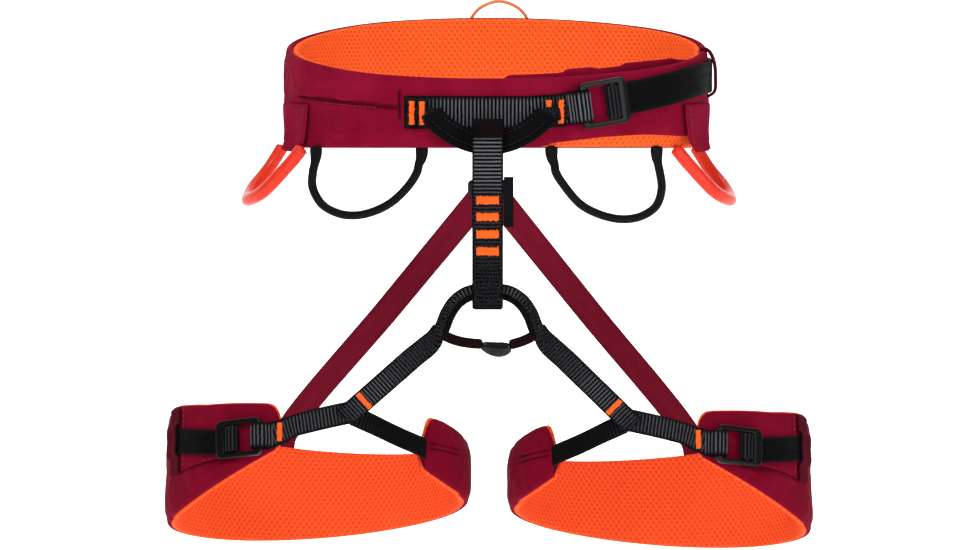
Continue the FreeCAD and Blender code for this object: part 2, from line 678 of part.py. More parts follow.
REAR_GEAR_LOOP = ((115.7, -45.4, -32.6), (121, -43.4, -39.4), (135.5, -36.5, -55.5), (146, -20, -62),
                  (148.5, 0, -60.5), (146, 13, -53.5), (138, 20, -43.5), (132, 21.5, -36.4))
REAR_GEAR_PATCHES = (((-33, -28, -23, -18), -14.5), ((8, 13, 18), -16))  # angles and height of each
PATCH_HEIGHT = 25.0


def rear_gear_loop(side):
    """A moulded loop that stands out sideways, and the two cloth patches that hold it."""
    word = WORDS[side]
    ring = WAIST_SIDES[side]
    patches = []
    for angles, height in REAR_GEAR_PATCHES:
        patches.append(ring.band([(angle, STRAP_LOW, height) for angle in angles], PATCH_HEIGHT, D["strap"]))
    feature(f"rear_gear_anchor_{word}", Part.makeCompound(patches))
    route = [Vector(side * x, y, z) for x, y, z in REAR_GEAR_LOOP]
    feature(f"rear_gear_loop_{word}", rod(route, D["rear_gear_rod"], 30))


HAUL_X, HAUL_HALF, HAUL_Y, HAUL_FOOT = 6.4, 18.5, 98.4, 37.3
HAUL_PATCH_ANGLES = (98, 92, 87, 82, 76)
HAUL_PATCH_HEIGHT, HAUL_PATCH_WIDTH = 29.0, 14.0


def haul_loop():
    patch = [(angle, STRAP_LOW, HAUL_PATCH_HEIGHT) for angle in HAUL_PATCH_ANGLES]
    feature("haul_loop_anchor", WAIST.band(patch, HAUL_PATCH_WIDTH, D["strap"]))
    route = [Vector(HAUL_X + share * HAUL_HALF, HAUL_Y, HAUL_FOOT + rise) for share, rise in
             ((-1, 0), (-1.0, 7), (-0.68, 16), (0, 21.5), (0.68, 16), (1.0, 7), (1, 0))]
    feature("haul_loop", rod(route, D["haul_cord"], 16))


# ---------------------------------------------------------------- belay loop
def belay_loop():
    """A stitched stadium of webbing, its bar tacks on the front strand and a blank cloth tag."""
    body = doc.addObject("PartDesign::Body", "belay_loop")
    spacing = "dims.belay_top - dims.belay_bottom - dims.belay_gap - 2 * dims.belay_thickness"
    outline = stadium_sketch(body, "belay_outline", "YZ_Plane", "dims.belay_gap / 2 + dims.belay_thickness",
                             spacing)
    pad(body, outline, "belay_pad", "dims.belay_width", midplane=True)
    opening = stadium_sketch(body, "belay_inside", "YZ_Plane", "dims.belay_gap / 2", spacing)
    pocket_through(body, opening, "belay_opening")
    middle = (D["belay_top"] + D["belay_bottom"]) / 2
    body.Placement = Placement(Vector(D["belay_centre_x"], D["tie_in_y"], middle), Rotation())
    keep(body, "belay_loop")
    face = D["tie_in_y"] - D["belay_gap"] / 2 - D["belay_thickness"] - FACE_GAP
    wide, tall = BELAY_TACK_SIZE
    tacks = []
    for height in BELAY_TACKS:
        low = Vector(D["belay_centre_x"] - wide / 2, face - TACK, height - tall / 2)
        tacks.append(Part.makeBox(wide, TACK, tall, low))
    feature("belay_bar_tacks", Part.makeCompound(tacks))
    edge = D["belay_centre_x"] + D["belay_width"] / 2 + D["layer_gap"]
    behind = face + TAG_INSET
    low = Vector(edge, behind, TAG_HEIGHTS[0])
    high = Vector(edge + TAG_WIDTH, behind + TAG_THICKNESS, TAG_HEIGHTS[1])
    keep(block("belay_tag_cloth", low, high), "belay_tag")


BELAY_TACKS = (-54.4, -64.0, -74.0, -83.9)  # heights of the four bar tacks
BELAY_TACK_SIZE = (12.8, 5.0)
TAG_HEIGHTS = (-70.0, -41.0)
TAG_WIDTH, TAG_THICKNESS = 5.6, 0.6
TAG_INSET = 1.2  # the tag lies this far behind the loop's front face


# ---------------------------------------------------------------- leg tie-in arch
ARCH = [(-29.6, -132.9), (-28.0, -128.0), (-25.6, -120.6), (-20.6, -113.4), (-12.8, -108.3), (-5, -107.0)]
ARCH_BAND, ARCH_DEPTH, ARCH_WALL = 13.0, 4.6, 1.0
RETAINERS = {"left": ((-22.6, -134.6), (-14, -139.2), (-6.0, -141.2)),
             "right": ((22.6, -134.6), (18, -137.6), (14.2, -139.8))}  # elastic under the arch: x and z
RETAINER_SIZE = (6.0, 2.0)  # width and thickness
HOOK_X, HOOK_Z = 4.1, -142.4
HOOK_ENDS, HOOK_SIDES, HOOK_CORNER = 5.0, 2.3, 2.5  # walls round the hook's slot, outer corner radius


def arch_path():
    half = [Vector(x, D["tie_in_y"], z) for x, z in ARCH]
    return half + [Vector(-p.x, p.y, p.z) for p in half[::-1]]


def arch_across(points):
    """The band's width direction: away from the middle of the opening."""
    ahead = points[1:] + points[-1:]
    behind = points[:1] + points[:-1]
    return [Vector(0, -1, 0).cross(b - a).normalize() for a, b in zip(behind, ahead)]


def leg_tie_in():
    points = arch_path()
    across = arch_across(points)
    feature("leg_tie_in_sleeve", tube_ribbon(points, across, ARCH_BAND, ARCH_DEPTH, ARCH_WALL))
    clear = 2 * ARCH_WALL + 2 * D["layer_gap"]
    feature("leg_tie_in_webbing", ribbon(points, across, ARCH_BAND - clear, ARCH_DEPTH - clear))
    y = D["tie_in_y"]
    for word, route in RETAINERS.items():
        line = [Vector(x, y, z) for x, z in route]
        feature(f"retainer_strap_{word}", ribbon(line, Vector(0, 0, 1), *RETAINER_SIZE))
    hook = doc.addObject("PartDesign::Body", "retainer_hook")
    outline = rectangle_sketch(hook, "hook_outline", "XY_Plane", "dims.hook_length", "dims.hook_height")
    solid = pad(hook, outline, "hook_pad", "dims.hook_thickness")
    fillet(hook, solid, upright_edges(solid.Shape), HOOK_CORNER)
    slot = rectangle_sketch(hook, "hook_slot", "XY_Plane", f"dims.hook_length - 2 * {HOOK_ENDS}",
                            f"dims.hook_height - 2 * {HOOK_SIDES}")
    pocket_through(hook, slot, "hook_opening")
    front = Rotation(Vector(1, 0, 0), 90)  # the body's Z turns to -Y
    hook.Placement = Placement(Vector(HOOK_X, y + D["hook_thickness"] / 2, HOOK_Z), front)
    keep(hook, "retainer_hook")


# ---------------------------------------------------------------- risers
APEX = (4.0, -58.0)  # each riser starts this far past the middle, at this height
RISER_Y = {-1: 98.6, 1: 100.8}  # the left riser lies under the right one
RISER_AT_LEG = ((74.1, 27), (71, 17), (68, 8))  # angle and height on the leg loop's outer face
RISER_PATCH_AT, RISER_PATCH = (69, 12), (21, 15, 0.8)  # angle and height, size
RISER_ANCHOR = (Vector(-9, 95.35, -55), Vector(9, 96.55, -10))  # strap from the belt down to the yoke
YOKE_AT = Vector(0, 97.2, -61.2)
YOKE_WALL, YOKE_CORNER = 3.5, 3.0


def riser_parts():
    keep(block("riser_anchor_cloth", *RISER_ANCHOR), "riser_anchor_strap")
    yoke = doc.addObject("PartDesign::Body", "riser_yoke")
    outline = rectangle_sketch(yoke, "yoke_outline", "XY_Plane", "dims.yoke_width", "dims.yoke_height")
    solid = pad(yoke, outline, "yoke_pad", "dims.yoke_thickness")
    fillet(yoke, solid, upright_edges(solid.Shape), YOKE_CORNER)
    slot = rectangle_sketch(yoke, "yoke_slot", "XY_Plane", f"dims.yoke_width - 2 * {YOKE_WALL}",
                            f"dims.yoke_height - 2 * {YOKE_WALL}")
    pocket_through(yoke, slot, "yoke_opening")
    yoke.Placement = Placement(YOKE_AT, Rotation(Vector(1, 0, 0), 90))
    keep(yoke, "riser_yoke")
    for side in (-1, 1):
        riser(side)


def riser(side):
    """Elastic webbing from the yoke down to the outside of the leg loop's back."""
    ring = LEGS[side]
    out = D["layer_gap"] + D["riser"] / 2
    start = Vector(-side * APEX[0], RISER_Y[side], APEX[1])
    on_leg = [ring.place(angle, out, height) for angle, height in RISER_AT_LEG]
    before = ring.place(RISER_AT_LEG[0][0] + 2, out + 2.2, RISER_AT_LEG[0][1] + 12)
    points = [start, (start + before) * 0.5, before] + on_leg
    normals = [Vector(0, 1, 0)] * 3
    normals += [ring.place(angle, out + 1) - ring.place(angle, out) for angle, _ in RISER_AT_LEG]
    ahead = points[1:] + points[-1:]
    behind = points[:1] + points[:-1]
    across = [n.cross(b - a).normalize() for n, a, b in zip(normals, behind, ahead)]
    feature(f"riser_{WORDS[side]}", ribbon(points, across, D["riser_width"], D["riser"]))
    angle, height = RISER_PATCH_AT
    base = ring.frame(angle, out + D["riser"] / 2 + D["layer_gap"], height, 0)
    feature(f"{WORDS[side]}_riser_patch", plate(base, RISER_PATCH))


# ---------------------------------------------------------------- leg straps
JUNCTION = (-23, -98, 17.3)  # where the three leg straps meet, in the leg loop's own frame
FREE_FRONT = (JUNCTION, (-11.2, -94.6, 15.4), (0.7, -90.6, 13.3), (11, -86.2, 11.2))
FREE_INNER = ((-26, -94.9, 15.4), (-36, -90.0, 11.6), (-50, -77.5, 6.9), (-62, -64.5, 3.9),
              (-66.8, -57.6, 3.0))
TACK_ON_PAD = (-78.4, 3.2, 8.4, 0)  # the tack beside the buckle: angle, distance out, height and roll
STACK = 2.1  # the straps meet on top of each other this far apart
ARCH_STRAP = (32.6, -136.4)  # where the upper strap starts, under the arch's end
FRONT_STRAP_ON_PAD = ((-79, 1.75, 8.7), (-76.8, 1.4, 7.8))


LEG_STRAP_LINE = ((-47, 6.2), (-43, 7), (-39, 7.9), (-34, 9.2), (-29, 10.7), (-25, 12.0))  # angle and height


def leg_straps(side):
    word, ring, buckle = WORDS[side], LEGS[side], LEG_BUCKLES[side]
    width, thick = D["leg_webbing_width"], D["webbing"]

    def local(points):
        return [ring.placement.multVec(Vector(side * x, y, z)) for x, y, z in points]

    junction = local([JUNCTION])[0]
    arch_end = Vector(side * ARCH_STRAP[0], D["tie_in_y"], ARCH_STRAP[1])
    lower_end = junction + Vector(0, -STACK, 0)
    upper = [arch_end + (lower_end - arch_end) * (i / 4) for i in range(5)]
    facing = Vector(0, -1, 0)
    feature(f"{word}_leg_upper_strap", ribbon(upper, facing.cross(lower_end - arch_end), width, thick))

    front = local(FREE_FRONT) + ring.points(FRONT_STRAP_ON_PAD)
    fold = fold_steps(buckle.bar, thick)
    feature(f"{word}_leg_front_strap", buckle.strap(front, fold, [], width, thick))

    feature(f"{word}_leg_inner_strap", ribbon(local(FREE_INNER), ring.up(), width - 1, D["strap"]))

    under = ring.points([(angle, STRAP_LOW, height) for angle, height in LEG_STRAP_LINE[::-1]])
    over = ring.points([(angle, STRAP_HIGH, height) for angle, height in LEG_STRAP_LINE[:-1]])
    wrap = wrap_steps(buckle.slider)
    feature(f"{word}_leg_adjust_strap", buckle.strap(under, wrap, over, width, D["strap"]))
    keeper(f"{word}_leg_keeper", ring, *LEG_KEEPER)

    climb = arch_end - lower_end
    near_junction = frame_placement(lower_end + climb * 0.17, climb, facing.cross(climb))
    on_pad = ring.frame(*TACK_ON_PAD)
    tacks = [plate(near_junction, (TACK_WIDTH, LEG_TACK_HEIGHT, TACK), (0, 0, thick / 2 + FACE_GAP)),
             plate(on_pad, (TACK_WIDTH, LEG_TACK_HEIGHT, TACK))]
    feature(f"{word}_leg_bar_tacks", Part.makeCompound(tacks))
    buckle.make(f"{word}_leg_buckle")


# ---------------------------------------------------------------- build, check and write
waist_padding()
waist_webbing()
tie_in_loop()
WAIST_BUCKLE.make("waist_buckle")
waist_strap()
keeper("waist_strap_keeper", WAIST, *WAIST_KEEPER)
haul_loop()
belay_loop()
leg_tie_in()
riser_parts()
for leg_side in (-1, 1):
    front_gear_loop(leg_side)
    rear_gear_loop(leg_side)
    leg_padding(leg_side)
    leg_straps(leg_side)
doc.recompute()

for obj in doc.Objects:
    if "Invalid" in obj.State or "Error" in obj.State:
        raise RuntimeError(f"{obj.Name} failed: {obj.State}")
for part in sub_parts:
    if part.Shape.isNull() or not part.Shape.isValid() or not part.Shape.Solids:
        raise RuntimeError(part.Label + " has no valid solid")
labels = [part.Label for part in sub_parts]
if len(set(labels)) != len(labels):
    raise RuntimeError("two sub-parts share a label")

os.makedirs("parts", exist_ok=True)
for part in sub_parts:
    part.Shape.exportStep(f"parts/{part.Label}.step")
    print(f"{part.Label}: {len(part.Shape.Solids)} solid, {part.Shape.Volume:.0f} mm3")
print(len(sub_parts), "sub-parts")
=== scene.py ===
"""Looks of a climbing sit harness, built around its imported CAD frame.

Shapes are worked out in millimetres, as the design is, and turned into metres when a mesh is made.
X is the viewer's right when facing the front, -Y is the front, Z is up; side -1 is left and 1 is right.
"""
import json
import math

import bpy
import numpy as np
from mathutils import Matrix, Vector, noise


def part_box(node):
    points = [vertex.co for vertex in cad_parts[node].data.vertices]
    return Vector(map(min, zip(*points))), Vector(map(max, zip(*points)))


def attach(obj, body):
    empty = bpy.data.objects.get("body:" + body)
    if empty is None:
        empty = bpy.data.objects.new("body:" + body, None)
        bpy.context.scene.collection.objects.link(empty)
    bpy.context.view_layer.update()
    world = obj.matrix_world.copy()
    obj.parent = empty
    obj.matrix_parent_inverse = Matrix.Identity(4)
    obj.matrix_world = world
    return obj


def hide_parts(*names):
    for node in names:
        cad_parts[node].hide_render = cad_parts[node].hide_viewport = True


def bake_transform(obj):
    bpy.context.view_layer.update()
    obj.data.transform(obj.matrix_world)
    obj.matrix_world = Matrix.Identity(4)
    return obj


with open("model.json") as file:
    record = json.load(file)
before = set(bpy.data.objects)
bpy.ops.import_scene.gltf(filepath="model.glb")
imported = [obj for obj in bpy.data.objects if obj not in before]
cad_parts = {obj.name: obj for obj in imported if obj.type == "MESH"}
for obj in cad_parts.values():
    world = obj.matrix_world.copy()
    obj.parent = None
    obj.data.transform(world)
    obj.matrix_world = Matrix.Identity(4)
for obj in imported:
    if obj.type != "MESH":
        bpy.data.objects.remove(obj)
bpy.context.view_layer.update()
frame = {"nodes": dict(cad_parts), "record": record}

MM = 0.001
WORDS = {-1: "left", 1: "right"}
RIB = 2.2  # distance between webbing ribs


def box_mm(node):
    low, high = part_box(node)
    return low / MM, high / MM


def unit(vector):
    return Vector(vector).normalized()


# ---------------------------------------------------------------- meshes from arrays
def grid_faces(rows, columns, closed_rows=False):
    """Quads of a tube of rows x columns points; open tubes get a cap at each end."""
    faces = []
    for i in range(rows if closed_rows else rows - 1):
        a, b = i * columns, (i + 1) % rows * columns
        for j in range(columns):
            k = (j + 1) % columns
            faces.append((a + j, a + k, b + k, b + j))
    if not closed_rows:
        faces.append(tuple(range(columns))[::-1])
        faces.append(tuple((rows - 1) * columns + j for j in range(columns)))
    return faces


def mesh_object(name, points, faces, uv=None, **attributes):
    """A smooth mesh from points in millimetres; uv is in millimetres too, one pair for each point."""
    mesh = bpy.data.meshes.new(name)
    mesh.from_pydata((np.asarray(points, float) * MM).tolist(), [], faces)
    if uv is not None:
        corners = np.zeros(len(mesh.loops), np.int32)
        mesh.loops.foreach_get("vertex_index", corners)
        layer = mesh.uv_layers.new(name="cloth")
        layer.data.foreach_set("uv", np.asarray(uv, np.float32)[corners].ravel())
    for key, values in attributes.items():
        layer = mesh.attributes.new(key, "FLOAT", "POINT")
        layer.data.foreach_set("value", np.asarray(values, np.float32))
    mesh.polygons.foreach_set("use_smooth", [True] * len(mesh.polygons))
    mesh.update()
    made = bpy.data.objects.new(name, mesh)
    bpy.context.scene.collection.objects.link(made)
    return made


def finish_piece(piece, body, material, replaces=()):
    """Rides the piece on a body, paints it and hides the CAD parts it replaces."""
    piece.data.materials.append(material)
    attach(piece, body)
    if replaces:
        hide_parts(*replaces)
    return piece


def smooth_rows(rows, step, closed=False):
    """A centripetal Catmull-Rom line through rows whose first three columns are a place, evenly resampled."""
    rows = np.array(rows, float)
    if closed:
        ext = np.vstack([rows[-1:], rows, rows[:2]])
    else:
        ext = np.vstack([2 * rows[:1] - rows[1:2], rows, 2 * rows[-1:] - rows[-2:-1]])
    dense = []
    share = np.linspace(0, 1, 14, endpoint=False)[:, None]
    for p0, p1, p2, p3 in zip(ext, ext[1:], ext[2:], ext[3:]):
        knots = [0.0]
        for a, b in ((p0, p1), (p1, p2), (p2, p3)):
            knots.append(knots[-1] + max(np.linalg.norm(b[:3] - a[:3]), 1e-6) ** 0.5)
        t0, t1, t2, t3 = knots
        t = t1 + (t2 - t1) * share
        a1 = (t1 - t) / (t1 - t0) * p0 + (t - t0) / (t1 - t0) * p1
        a2 = (t2 - t) / (t2 - t1) * p1 + (t - t1) / (t2 - t1) * p2
        a3 = (t3 - t) / (t3 - t2) * p2 + (t - t2) / (t3 - t2) * p3
        b1 = (t2 - t) / (t2 - t0) * a1 + (t - t0) / (t2 - t0) * a2
        b2 = (t3 - t) / (t3 - t1) * a2 + (t - t1) / (t3 - t1) * a3
        dense.append((t2 - t) / (t2 - t1) * b1 + (t - t1) / (t2 - t1) * b2)
    dense = np.vstack(dense + [rows[:1] if closed else rows[-1:]])
    along = np.concatenate([[0], np.cumsum(np.linalg.norm(np.diff(dense[:, :3], axis=0), axis=1))])
    count = max(int(round(along[-1] / step)), 2)
    at = np.linspace(0, along[-1], count + 1)
    even = np.column_stack([np.interp(at, along, dense[:, k]) for k in range(dense.shape[1])])
    return (even[:-1], at[:-1]) if closed else (even, at)


def directions(line, across, closed=False):
    """Unit side and out directions along a line, from a rough width direction."""
    if closed:
        ahead = np.roll(line, -1, 0) - np.roll(line, 1, 0)
    else:
        ahead = np.gradient(line, axis=0)
    ahead /= np.linalg.norm(ahead, axis=1)[:, None]
    out = np.cross(ahead, across)
    out /= np.linalg.norm(out, axis=1)[:, None]
    side = np.cross(out, ahead)
    return side, out


def spread_section(width, thickness, columns, notch):
    """A strap's rounded section: offsets across and out, and how near each point is to the selvage."""
    half, low = width / 2, thickness / 2
    inner = half - low
    a, b = [], []
    for sign in (1, -1):
        for share in np.linspace(-1, 1, columns):
            a.append(sign * inner * share)
            b.append(sign * low)
        for turn in (-60, -25, 0, 25, 60):
            pinch = notch if turn == 0 else 0
            a.append(sign * (inner + (low - pinch) * math.cos(math.radians(turn))))
            b.append(-sign * low * math.sin(math.radians(turn)))
    a, b = np.array(a), np.array(b)
    edge = np.clip((np.abs(a) - (half - 1.6)) / 1.0, 0, 1)
    return a, b, edge


def strap(name, spots, width, thickness, ribs=0.28, closed=False, columns=9, notch=0.0, samples=6):
    """Webbing as a mesh. spots are (place, width direction, crest light, rib strength, width share); crest
    light is how strong the painted highlight on the rib crests is there.
    """
    rows = []
    for spot in spots:
        place, across, tone, rib, share = (tuple(spot) + (1.0, 1.0, 1.0))[:5]
        rows.append((*place, *across, tone, rib, share))
    step = RIB / samples if ribs else 1.1
    even, at = smooth_rows(rows, step, closed)
    if closed:
        length = at[-1] + at[1]
        at = at * (round(length / RIB) * RIB / length)
    line, across, tone, rib, share = even[:, :3], even[:, 3:6], even[:, 6], even[:, 7], even[:, 8]
    side, out = directions(line, across, closed)
    a, b, edge = spread_section(width, thickness - 2 * ribs, columns, notch)
    crest = 0.5 + 0.5 * np.cos(2 * math.pi * at / RIB)
    lift = ribs * (rib * crest)[:, None] * (1 - edge)[None, :] * np.sign(b)[None, :]
    ripple = 0.12 * (rib * crest)[:, None] * edge[None, :] * np.sign(a)[None, :] * (1 if ribs else 0)
    wide = (a[None, :] + ripple) * share[:, None]
    deep = b[None, :] + lift
    points = line[:, None, :] + side[:, None, :] * wide[..., None] + out[:, None, :] * deep[..., None]
    count, columns_all = wide.shape
    uv = np.stack([np.broadcast_to(a, wide.shape), np.broadcast_to(at[:, None], wide.shape)], -1)
    return mesh_object(name, points.reshape(-1, 3), grid_faces(count, columns_all, closed),
                       uv.reshape(-1, 2), tone=np.repeat(np.clip(tone, 0, 1), columns_all),
                       edge=np.tile(edge, count))


def rod(name, spots, sides=18, step=1.2, square=2.0):
    """A tube through spots of (place, width direction, half width, half depth), with rounded ends."""
    rows = [(*place, *across, wide, deep) for place, across, wide, deep in spots]
    even, at = smooth_rows(rows, step)
    line, side_rough = even[:, :3], even[:, 3:6]
    side, out = directions(line, side_rough)
    wide, deep = even[:, 6], even[:, 7]
    ends = np.minimum(at, at[-1] - at)
    round_off = np.sqrt(np.clip(1 - (1 - np.clip(ends / 1.6, 0, 1)) ** 2, 0.08, 1))
    turn = np.linspace(0, 2 * math.pi, sides, endpoint=False)
    cos, sin = np.cos(turn), np.sin(turn)
    a = np.sign(cos) * np.abs(cos) ** (2 / square)
    b = np.sign(sin) * np.abs(sin) ** (2 / square)
    points = (line[:, None, :] + side[:, None, :] * ((wide * round_off)[:, None] * a[None, :])[..., None]
              + out[:, None, :] * ((deep * round_off)[:, None] * b[None, :])[..., None])
    uv = np.stack([np.broadcast_to(turn / (2 * math.pi) * 6 * 2, (len(at), sides)),
                   np.broadcast_to(at[:, None], (len(at), sides))], -1)
    return mesh_object(name, points.reshape(-1, 3), grid_faces(len(at), sides), uv.reshape(-1, 2),
                       tone=np.zeros(points.shape[0] * sides), edge=np.zeros(points.shape[0] * sides))


def stitches(name, segments, radius, sides=6):
    """Sewn threads: each segment is (from, to, out direction, rise of its middle)."""
    points, faces, uv = [], [], []
    shares = (0.0, 0.12, 0.5, 0.88, 1.0)
    for low, high, out, rise in segments:
        low, high, out = Vector(low), Vector(high), unit(out)
        along = (high - low).normalized()
        side = along.cross(out).normalized()
        start = len(points)
        for share in shares:
            full = 0.35 if share in (0.0, 1.0) else 1.0
            lift = rise * (1 - (2 * share - 1) ** 2)
            centre = low + (high - low) * share + out * lift
            for i in range(sides):
                turn = 2 * math.pi * i / sides
                points.append(centre + (side * math.cos(turn) + out * math.sin(turn)) * (radius * full))
                uv.append((i * 0.3, share * (high - low).length))
        faces += [tuple(start + k for k in face) for face in grid_faces(len(shares), sides)]
    return mesh_object(name, points, faces, uv, tone=[0] * len(points), edge=[0] * len(points))


STITCH_RISE = 0.12


def stitch_line(places, outs, stitch=2.4, gap=0.9):
    """Segments of a running stitch along a line of places."""
    rows = [(*place, *out) for place, out in zip(places, outs)]
    even, at = smooth_rows(rows, 0.3)
    segments, start = [], 0.4
    while start + stitch < at[-1]:
        ends = [[np.interp(s, at, even[:, k]) for k in range(6)] for s in (start, start + stitch)]
        segments.append((ends[0][:3], ends[1][:3], ends[0][3:], STITCH_RISE))
        start += stitch + gap
    return segments


def bar_tack(base, wide, tall, pitch=0.62, ragged=0.35, seed=1):
    """Threads of a bar tack on a frame: they run along its X and are stacked along its Y."""
    segments = []
    count = int(tall / pitch)
    for i in range(count):
        y = (i + 0.5) * tall / count - tall / 2
        shift = noise.noise((i * 0.9, seed * 3.1, 0.5)) * ragged
        longer = noise.noise((i * 1.3, 5.5, seed * 2.7)) * ragged
        half = wide / 2 + longer
        low = base @ Vector((shift - half, y - 0.1, 0))
        high = base @ Vector((shift + half, y + 0.1, 0))
        segments.append((low, high, base.to_3x3() @ Vector((0, 0, 1)), 0.25))
    return segments


# ---------------------------------------------------------------- places beside the padded rings
def frame_matrix(origin, along, across):
    """Matrix whose X runs along and whose Z is along x across."""
    x = unit(along)
    z = x.cross(Vector(across)).normalized()
    y = z.cross(x)
    made = Matrix((x, y, z)).transposed().to_4x4()
    made.translation = origin
    return made


class Ring:
    """The outer face of a padded ring: an angle (0 outer side, -90 front), a distance out and a height."""

    def __init__(self, half_width, half_depth, placement, side, lean=(0.0, 0.0)):
        self.a, self.b = half_width, half_depth
        self.placement, self.side = placement, side
        self.lean = lean  # how far its left and right ends sit to the right, as displayed

    def local(self, angle, out=0.0, height=0.0):
        turn = math.radians(angle)
        normal = Vector((math.cos(turn) / self.a, math.sin(turn) / self.b, 0)).normalized()
        return Vector((self.a * math.cos(turn), self.b * math.sin(turn), height)) + normal * out

    def place(self, angle, out=0.0, height=0.0):
        local = self.local(angle, out, height)
        reach = min(max((abs(local.x) - 60) / 60, 0.0), 1.0)
        lean = self.lean[0] if self.side * local.x < 0 else self.lean[1]
        shift = lean * reach * reach * (3 - 2 * reach)
        return self.placement @ Vector((self.side * local.x + shift, local.y, local.z))

    def out(self, angle):
        return (self.place(angle, 1) - self.place(angle)).normalized()

    def angle_at(self, across):
        return -math.degrees(math.acos(across / self.a))

    def degrees_per_mm(self, angle):
        turn = math.radians(angle)
        return math.degrees(1 / math.hypot(self.a * math.sin(turn), self.b * math.cos(turn)))

    def up(self):
        return self.placement.to_3x3() @ Vector((0, 0, 1))

    def frame(self, angle, out, height, roll=0.0):
        step = self.degrees_per_mm(angle)
        rise = math.tan(math.radians(roll))
        along = self.place(angle + step, out, height + rise) - self.place(angle - step, out, height - rise)
        return frame_matrix(self.place(angle, out, height), along, self.up() * self.side)


def mount(name):
    return next(m for m in frame["record"]["mounts"] if m["name"] == name)


def leg_ring(side):
    """The leg loop's ring, from its mount's place and tilt."""
    thigh = mount(WORDS[side] + "_thigh")
    low, high = box_mm(WORDS[side] + "_leg_shell")
    tilt = math.atan2(thigh["axis"][1], thigh["axis"][2])
    placement = Matrix.Translation(Vector(thigh["pos_m"]) / MM) @ Matrix.Rotation(-tilt, 4, "X")
    return Ring((high.x - low.x) / 2, LEG_HALF_DEPTH, placement, side)


LEG_HALF_DEPTH = 82.0
WAIST_HIGH = box_mm("waist_shell")[1]
WAIST_LEAN = (7.0, 2.0)  # the displayed belt hangs a little to the right


def waist_rings(*lean):
    """The belt's ring counted from its right side and from its left side."""
    return {side: Ring(WAIST_HIGH.x, WAIST_HIGH.y, Matrix.Identity(4), side, *lean) for side in (-1, 1)}


WAIST_SIDES = waist_rings(WAIST_LEAN)
GEAR_RINGS = waist_rings()
WAIST = WAIST_SIDES[1]
LEGS = {side: leg_ring(side) for side in (-1, 1)}


# ---------------------------------------------------------------- materials
def linear(red, green, blue):
    """Linear colour from 0-255 display values."""
    def one(value):
        value /= 255
        return value / 12.92 if value <= 0.04045 else ((value + 0.055) / 1.055) ** 2.4
    return (one(red), one(green), one(blue), 1.0)


class Value:
    """A node's output; arithmetic on it adds math nodes."""

    def __init__(self, graph, socket):
        self.graph, self.socket = graph, socket

    def __add__(self, other):
        return self.graph.calc("ADD", self, other)

    def __sub__(self, other):
        return self.graph.calc("SUBTRACT", self, other)

    def __rsub__(self, other):
        return self.graph.calc("SUBTRACT", other, self)

    def __mul__(self, other):
        return self.graph.calc("MULTIPLY", self, other)

    def __truediv__(self, other):
        return self.graph.calc("DIVIDE", self, other)

    def __mod__(self, other):
        return self.graph.calc("MODULO", self, other)


class Graph:
    """A material's nodes, built by short calls that return values."""

    def __init__(self, name, **shader):
        self.material = bpy.data.materials.new(name)
        self.material.use_nodes = True
        self.tree = self.material.node_tree
        self.shader = next(n for n in self.tree.nodes if n.type == "BSDF_PRINCIPLED")
        for key, value in shader.items():
            self.shader.inputs[key.replace("_", " ")].default_value = value

    def node(self, kind, inputs, **settings):
        made = self.tree.nodes.new("ShaderNode" + kind)
        for key, value in settings.items():
            setattr(made, key, value)
        for key, value in inputs.items():
            self.put(value, made.inputs[key])
        return made

    def put(self, value, socket):
        """Links a value to a socket, or sets a number there."""
        if isinstance(value, Value):
            self.tree.links.new(value.socket, socket)
        else:
            socket.default_value = value

    def take(self, output, kind, inputs, **settings):
        """A new node's output."""
        return Value(self, self.node(kind, inputs, **settings).outputs[output])

    def calc(self, operation, *values):
        return self.take(0, "Math", dict(enumerate(values)), operation=operation)

    def cloth_uv(self):
        """Across and along the cloth, in millimetres."""
        split = self.node("SeparateXYZ", {0: self.take(0, "UVMap", {}, uv_map="cloth")})
        return Value(self, split.outputs[0]), Value(self, split.outputs[1])

    def object_point(self):
        """The place on the object in millimetres."""
        point = self.take("Object", "TexCoord", {})
        return self.take(0, "VectorMath", {0: point, 3: 1 / MM}, operation="SCALE")

    def stretched(self, point, stretch):
        return self.take(0, "VectorMath", {0: point, 1: stretch}, operation="MULTIPLY")

    def uv_point(self, stretch=(1.0, 1.0, 1.0)):
        return self.stretched(self.take(0, "UVMap", {}, uv_map="cloth"), stretch)

    def noise(self, point, scale, detail=3.0, roughness=0.55):
        inputs = {"Vector": point, "Scale": scale, "Detail": detail, "Roughness": roughness}
        return self.take("Fac", "TexNoise", inputs)

    def attribute(self, name):
        return self.take("Fac", "Attribute", {}, attribute_name=name)

    def ramp(self, value, low, high, to_low=0.0, to_high=1.0):
        """A smooth step from to_low to to_high."""
        inputs = {0: value, 1: low, 2: high, 3: to_low, 4: to_high}
        return self.take(0, "MapRange", inputs, interpolation_type="SMOOTHSTEP")

    def wave(self, value, pitch):
        """A cosine from 0 to 1 with a crest each pitch."""
        turn = value * (2 * math.pi / pitch)
        return self.calc("MULTIPLY_ADD", self.calc("COSINE", turn), 0.5, 0.5)

    def mix(self, share, first, second):
        made = self.node("Mix", {}, data_type="RGBA")
        for number, value in ((0, share), (6, first), (7, second)):
            self.put(value, made.inputs[number])
        return Value(self, made.outputs[2])

    def finish(self, colour, height=None, depth=0.1, roughness=None):
        """Links the colour, the roughness and a bump that is depth millimetres deep."""
        self.put(colour, self.shader.inputs["Base Color"])
        if roughness is not None:
            self.put(roughness, self.shader.inputs["Roughness"])
        if height is not None:
            bump = self.take(0, "Bump", {"Height": height, "Distance": depth * MM, "Strength": 1.0})
            self.put(bump, self.shader.inputs["Normal"])
        return self.material


